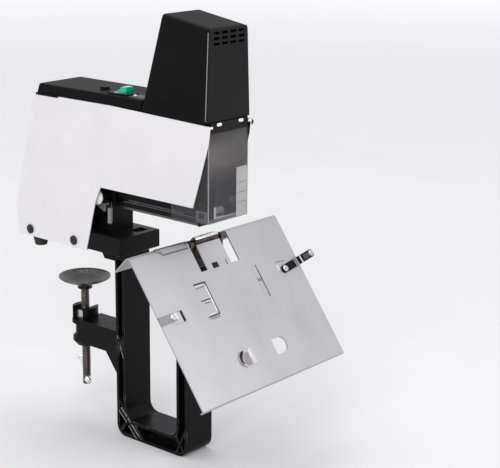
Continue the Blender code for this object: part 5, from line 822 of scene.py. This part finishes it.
# Rocker: raised crown on its front half, textured patch and lamp towards the tower
CROWN_PROFILE = ((-0.0984, 0.2012), (-0.0982, 0.2058), (-0.0974, 0.2066), (-0.0915, 0.2066),
                 (-0.0900, 0.2060), (-0.0878, 0.2030), (-0.0830, 0.2012), (-0.0860, 0.1995),
                 (-0.0960, 0.1995))
piece("rocker_crown", slab(RIGHT, CROWN_PROFILE, -0.0246, -0.0134), GREEN_TOP, "power_rocker", 0.0004)
plate("switch_patch", ABOVE, (-0.0268, -0.0112, -0.1262, -0.1020, 0.0012), (0.1974, 0.1979), BEZEL,
      "frame", 0.0001)
piece("switch_lamp", turned(ABOVE.moved(-0.019, -0.1068, 0.1978), (
    (0.0021, 0), (0.0021, 0.0004), (0.0016, 0.0009), (0.0008, 0.0012), (0, 0.0013)), 20), PALE, "frame")

# Clamp screw: the thread's ridge, wound about the plain core and run out at both ends
PITCH, TURN_STEPS = 0.0015, 20
CORE_RADIUS, CREST_RADIUS = 0.00472, 0.00503
FOOT_HALF, CREST_HALF = 0.0006, 0.00015
THREAD_FOOT, THREAD_HEAD = -0.152, -0.0585
made = bmesh.new()
rings = []
count = int((THREAD_HEAD - THREAD_FOOT) / PITCH * TURN_STEPS)
for k in range(count + 1):
    angle = math.tau * k / TURN_STEPS
    level = THREAD_FOOT + PITCH * k / TURN_STEPS
    run = min(1.0, k / TURN_STEPS, (count - k) / TURN_STEPS)
    top = CORE_RADIUS + (CREST_RADIUS - CORE_RADIUS) * run
    section = ((CORE_RADIUS, -FOOT_HALF), (top, -CREST_HALF), (top, CREST_HALF), (CORE_RADIUS, FOOT_HALF))
    rings.append([made.verts.new((radius * math.cos(angle), radius * math.sin(angle), level + shift))
                  for radius, shift in section])
piece("clamp_screw_thread", skin(made, rings), THREAD, "screw", smooth=20)

# Saddle table: pressed forms with painted shade and highlights on them, (material, lift, corners across and
# down from the ridge) in millimetres
TABLE_TILT = math.radians(53.9)
SHEET_TOP = Place((0, -0.1931, 0.0522), (1, 0, 0), (0, -math.cos(TABLE_TILT), -math.sin(TABLE_TILT)),
                  (0, -math.sin(TABLE_TILT), math.cos(TABLE_TILT)))
TABLE_FORMS = {
    # ridge flap: a darker border painted as shade, with its gap and fold lines painted as shadow
    "ridge_flap": (GUIDE_AND_SHADE, 0.7, ((-82.8, 1.8), (-38.0, 2.8), (-34.2, 9.6), (-73.6, 9.2))),
    "ridge_flap_face": (STEEL, 0.9, ((-74.5, 3.0), (-38.8, 3.6), (-36.0, 8.6), (-71.4, 8.3))),
    "ridge_flap_gap": (LINE, 1.0, ((-83.6, 1.0), (-37.2, 1.8), (-37.6, 2.6), (-82.4, 1.9))),
    "ridge_flap_fold": (LINE, 0.25, ((-73.8, 9.4), (-34.0, 9.8), (-33.8, 10.5), (-74.2, 10.1))),
    # bridge bars and rail painted bright as highlights; the shade strips under the bars and between the
    # right presses are painted shade
    "bridge_bar_top": (STEEL_HIGHLIGHT, 1.0, oblong(-50.6, -39.2, 52.2, 54.3)),
    "bridge_bar_middle": (STEEL_HIGHLIGHT, 0.8, oblong(-46.5, -38.6, 71.0, 72.4)),
    "bridge_bar_low": (STEEL_HIGHLIGHT, 1.0, oblong(-48.4, -39.8, 85.6, 87.6)),
    "bridge_rail": (STEEL_HIGHLIGHT, 0.8, oblong(-36.9, -35.5, 54.4, 86.2)),
    "bridge_foot": (GUIDE_AND_SHADE, 0.5, oblong(-50.0, -36.0, 90.2, 92.2)),
    "bridge_shade_top": (GUIDE_AND_SHADE, 0.14, oblong(-52.0, -38.2, 54.5, 56.0)),
    "bridge_shade_middle": (GUIDE_AND_SHADE, 0.14, oblong(-48.2, -38.0, 72.6, 74.4)),
    "right_press_upper": (STEEL, 0.7, oblong(44.4, 49.4, 53.0, 66.6)),
    "right_press_lower": (STEEL, 0.7, oblong(44.4, 49.4, 70.2, 86.4)),
    "right_press_shade": (GUIDE_AND_SHADE, 0.14, oblong(43.4, 49.5, 66.0, 69.9)),
    # recess top edges painted dark as shade, the lever recess's left wall painted bright as highlight
    "left_recess_top": (LINE, 0.12, ((-91.2, 71.2), (-84.2, 71.5), (-84.2, 72.0), (-91.2, 71.7))),
    "left_recess_foot": (GUIDE_AND_SHADE, 0.12, oblong(-101.2, -84.2, 84.2, 84.8)),
    "lever_recess_top": (LINE, 0.15, ((83.4, 54.8), (97.6, 56.0), (97.6, 56.6), (83.4, 55.5))),
    "lever_recess_left": (STEEL_HIGHLIGHT, 0.15, ((82.6, 58.8), (86.4, 58.8), (86.0, 65.8), (81.6, 65.8))),
    # tab: fold painted bright as highlight, fold line and crescent painted as shade
    "tab_fold": (STEEL_HIGHLIGHT, 2.4, oblong(-22.2, -17.6, 134.6, 152.8)),
    "tab_fold_line": (LINE, 2.45, oblong(-19.9, -19.4, 134.8, 152.6)),
    "tab_shade": (SLOT_SHADE, 1.62, (
        (-39.5, 144.3), (-39.0, 141.4), (-37.8, 138.8), (-35.8, 136.8), (-33.4, 135.6), (-28.5, 135.3),
        (-30.5, 138.0), (-34.0, 141.2), (-35.6, 145.0), (-35.4, 149.0), (-37.2, 150.2), (-38.9, 147.2))),
    "tab_flap": (GUIDE_AND_SHADE, 2.0, ((-33.6, 142.0), (-30.4, 139.2), (-24.4, 137.6), (-24.4, 152.4), (-31.0, 152.4),
                              (-34.4, 149.6))),
    # dark lines laid over the slits as painted shade
    "slit_top": (LINE, 0.08, oblong(-52.0, -33.6, 49.8, 51.7)),
    "slit_side": (LINE, 0.08, oblong(-35.3, -33.4, 51.0, 88.8)),
    "slit_low": (LINE, 0.08, oblong(-46.0, -34.0, 88.0, 89.6)),
    "slit_right": (LINE, 0.08, ((49.7, 58.0), (51.6, 58.0), (51.4, 84.0), (49.9, 84.0))),
}
MM = 0.001
SINK, MOST_ROUNDING = 0.2, 0.3
for name, (material, lift, corners) in TABLE_FORMS.items():
    made = slab(SHEET_TOP, [(a * MM, b * MM) for a, b in corners], -SINK * MM, lift * MM)
    piece("table_" + name, made, material, "table", min(MOST_ROUNDING, lift / 2.5) * MM)

# Dark sheets on the table's back face, painted shade seen through its slots
SHEET_BACK = -0.00152
SHADE_SHEET_THICKNESS = 0.0014
SHADE_SHEET_LEVELS = (SHEET_BACK - SHADE_SHEET_THICKNESS, SHEET_BACK)
SHADE_SHEETS = {
    "bridges": (-0.0535, -0.0322, 0.0480, 0.0925),
    "right": (0.0440, 0.0545, 0.0490, 0.0900),
    "guide": (-0.0905, -0.0815, 0.0690, 0.0870),
    "tongue": (-0.0138, 0.0136, 0.0325, 0.0402),
    "tab": (-0.0430, -0.0300, 0.1325, 0.1555),
}
for name, span in SHADE_SHEETS.items():
    plate("table_shade_sheet_" + name, SHEET_TOP, (*span, 0.0012), SHADE_SHEET_LEVELS, SLOT_SHADE, "table", 0.0003)

# Left guide: raised end, painted bright as a highlight
plate("left_guide_end", SHEET_TOP, (-0.0980, -0.0950, 0.0725, 0.0806, 0.0004), (0.0002, 0.0029), STEEL_HIGHLIGHT,
      "left_side_guide", 0.0006)

# Right guide: its bend painted bright as a highlight, and the inset, along its lever
LEVER_LEAN = math.radians(8.2)
across, along, out = SHEET_TOP.axes
LEVER = Place(SHEET_TOP.at(0.0925, 0.0659, 0),
              across * math.cos(LEVER_LEAN) - along * math.sin(LEVER_LEAN),
              across * math.sin(LEVER_LEAN) + along * math.cos(LEVER_LEAN), out)
for name, material, lift, (a, b, c, d) in (
        ("bend", STEEL_HIGHLIGHT, 0.00025, (0.0195, 0.0275, -0.0046, 0.0046)),
        ("inset", INSET, 0.00015, (0.0320, 0.0430, -0.0028, 0.0028))):
    piece("lever_" + name, patch(LEVER, oblong(a, b, c, d), lift, "right_guide"), material,
          "right_side_guide", 0.0001)

# Rear cover: four screws, square to its surface
REAR_SCREWS = ((-0.026, 0.030), (0.026, 0.030), (-0.026, 0.168), (0.026, 0.168))
BEHIND_COVER_Y = 0.12
for k, (x, z) in enumerate(REAR_SCREWS):
    hit = surface_of("rear_cover").ray_cast(Vector((x, BEHIND_COVER_Y, z)), Vector((0, -1, 0)), 0.2)
    out = hit[1].normalized()
    out = out if out.y > 0 else -out
    across = Vector((-1, 0, 0))
    screw_head("rear_screw_%d" % k, Place(hit[0], across, out.cross(across), out), 0.003, 0.0016)


# Floor and light
def backdrop_rays(tree):
    """1 for the rays that see the pale studio: the camera's, mirrored and transmitted ones."""
    rays = tree.nodes.new("ShaderNodeLightPath")
    seen = rays.outputs["Is Camera Ray"]
    for kind in ("Is Glossy Ray", "Is Transmission Ray"):
        larger = tree.nodes.new("ShaderNodeMath")
        larger.operation = "MAXIMUM"
        tree.links.new(seen, larger.inputs[0])
        tree.links.new(rays.outputs[kind], larger.inputs[1])
        seen = larger.outputs["Value"]
    return seen


def pale_floor():
    """Pale matt floor that glows towards its far end, for the backdrop's rays alone."""
    look = Look("floor")
    away = look.node("ShaderNodeVectorMath", operation="LENGTH")
    look.link(look.coords, away.inputs[0])
    glow = look.ramp(away.outputs["Value"], 0.6, 5.0, 0.0, 0.55)
    look.set(color=look.mix(look.ramp(look.noise(3, 3), 0.3, 0.7), (0.80, 0.80, 0.805), (0.82, 0.82, 0.825)),
             rough=0.7, specular=0.2, glow=(0.95, 0.96, 1.0),
             emission=look.maths("MULTIPLY", backdrop_rays(look.tree), glow))
    return look.material


FLOOR_HALF, FLOOR_GAP = 14, 0.0002
mesh = bpy.data.meshes.new("floor")
floor_level = cad_box[0].z - FLOOR_GAP
mesh.from_pydata([(x, y, floor_level) for x, y in oblong(-FLOOR_HALF, FLOOR_HALF, -FLOOR_HALF, FLOOR_HALF)],
                 [], [(0, 1, 2, 3)])
floor = bpy.data.objects.new("floor", mesh)
floor.data.materials.append(pale_floor())
bpy.context.scene.collection.objects.link(floor)

LIT_STRENGTH, SEEN_STRENGTH = 0.5, 0.92
world = bpy.data.worlds.new("studio")
bpy.context.scene.world = world
world.use_nodes = True
background = world.node_tree.nodes["Background"]
background.inputs["Color"].default_value = (0.96, 0.97, 1.0, 1)
strength = world.node_tree.nodes.new("ShaderNodeMapRange")
strength.inputs["To Min"].default_value = LIT_STRENGTH
strength.inputs["To Max"].default_value = SEEN_STRENGTH
world.node_tree.links.new(backdrop_rays(world.node_tree), strength.inputs["Value"])
world.node_tree.links.new(strength.outputs["Result"], background.inputs["Strength"])


def lamp(name, place, target, size, power):
    data = bpy.data.lights.new(name, "AREA")
    data.shape = "RECTANGLE"
    data.size, data.size_y = size
    data.energy = power
    made = bpy.data.objects.new(name, data)
    made.location = place
    made.rotation_euler = (Vector(target) - Vector(place)).to_track_quat("-Z", "Y").to_euler()
    bpy.context.scene.collection.objects.link(made)


lamp("key", (-2.2, -1.5, 1.9), (0, -0.1, 0.05), (1.8, 1.4), 40)
lamp("front", (0.9, -2.4, 1.2), (0, -0.15, 0.0), (1.6, 1.2), 20)
lamp("overhead", (0.1, 0.5, 2.4), (0, 0, 0.1), (2.2, 1.6), 30)
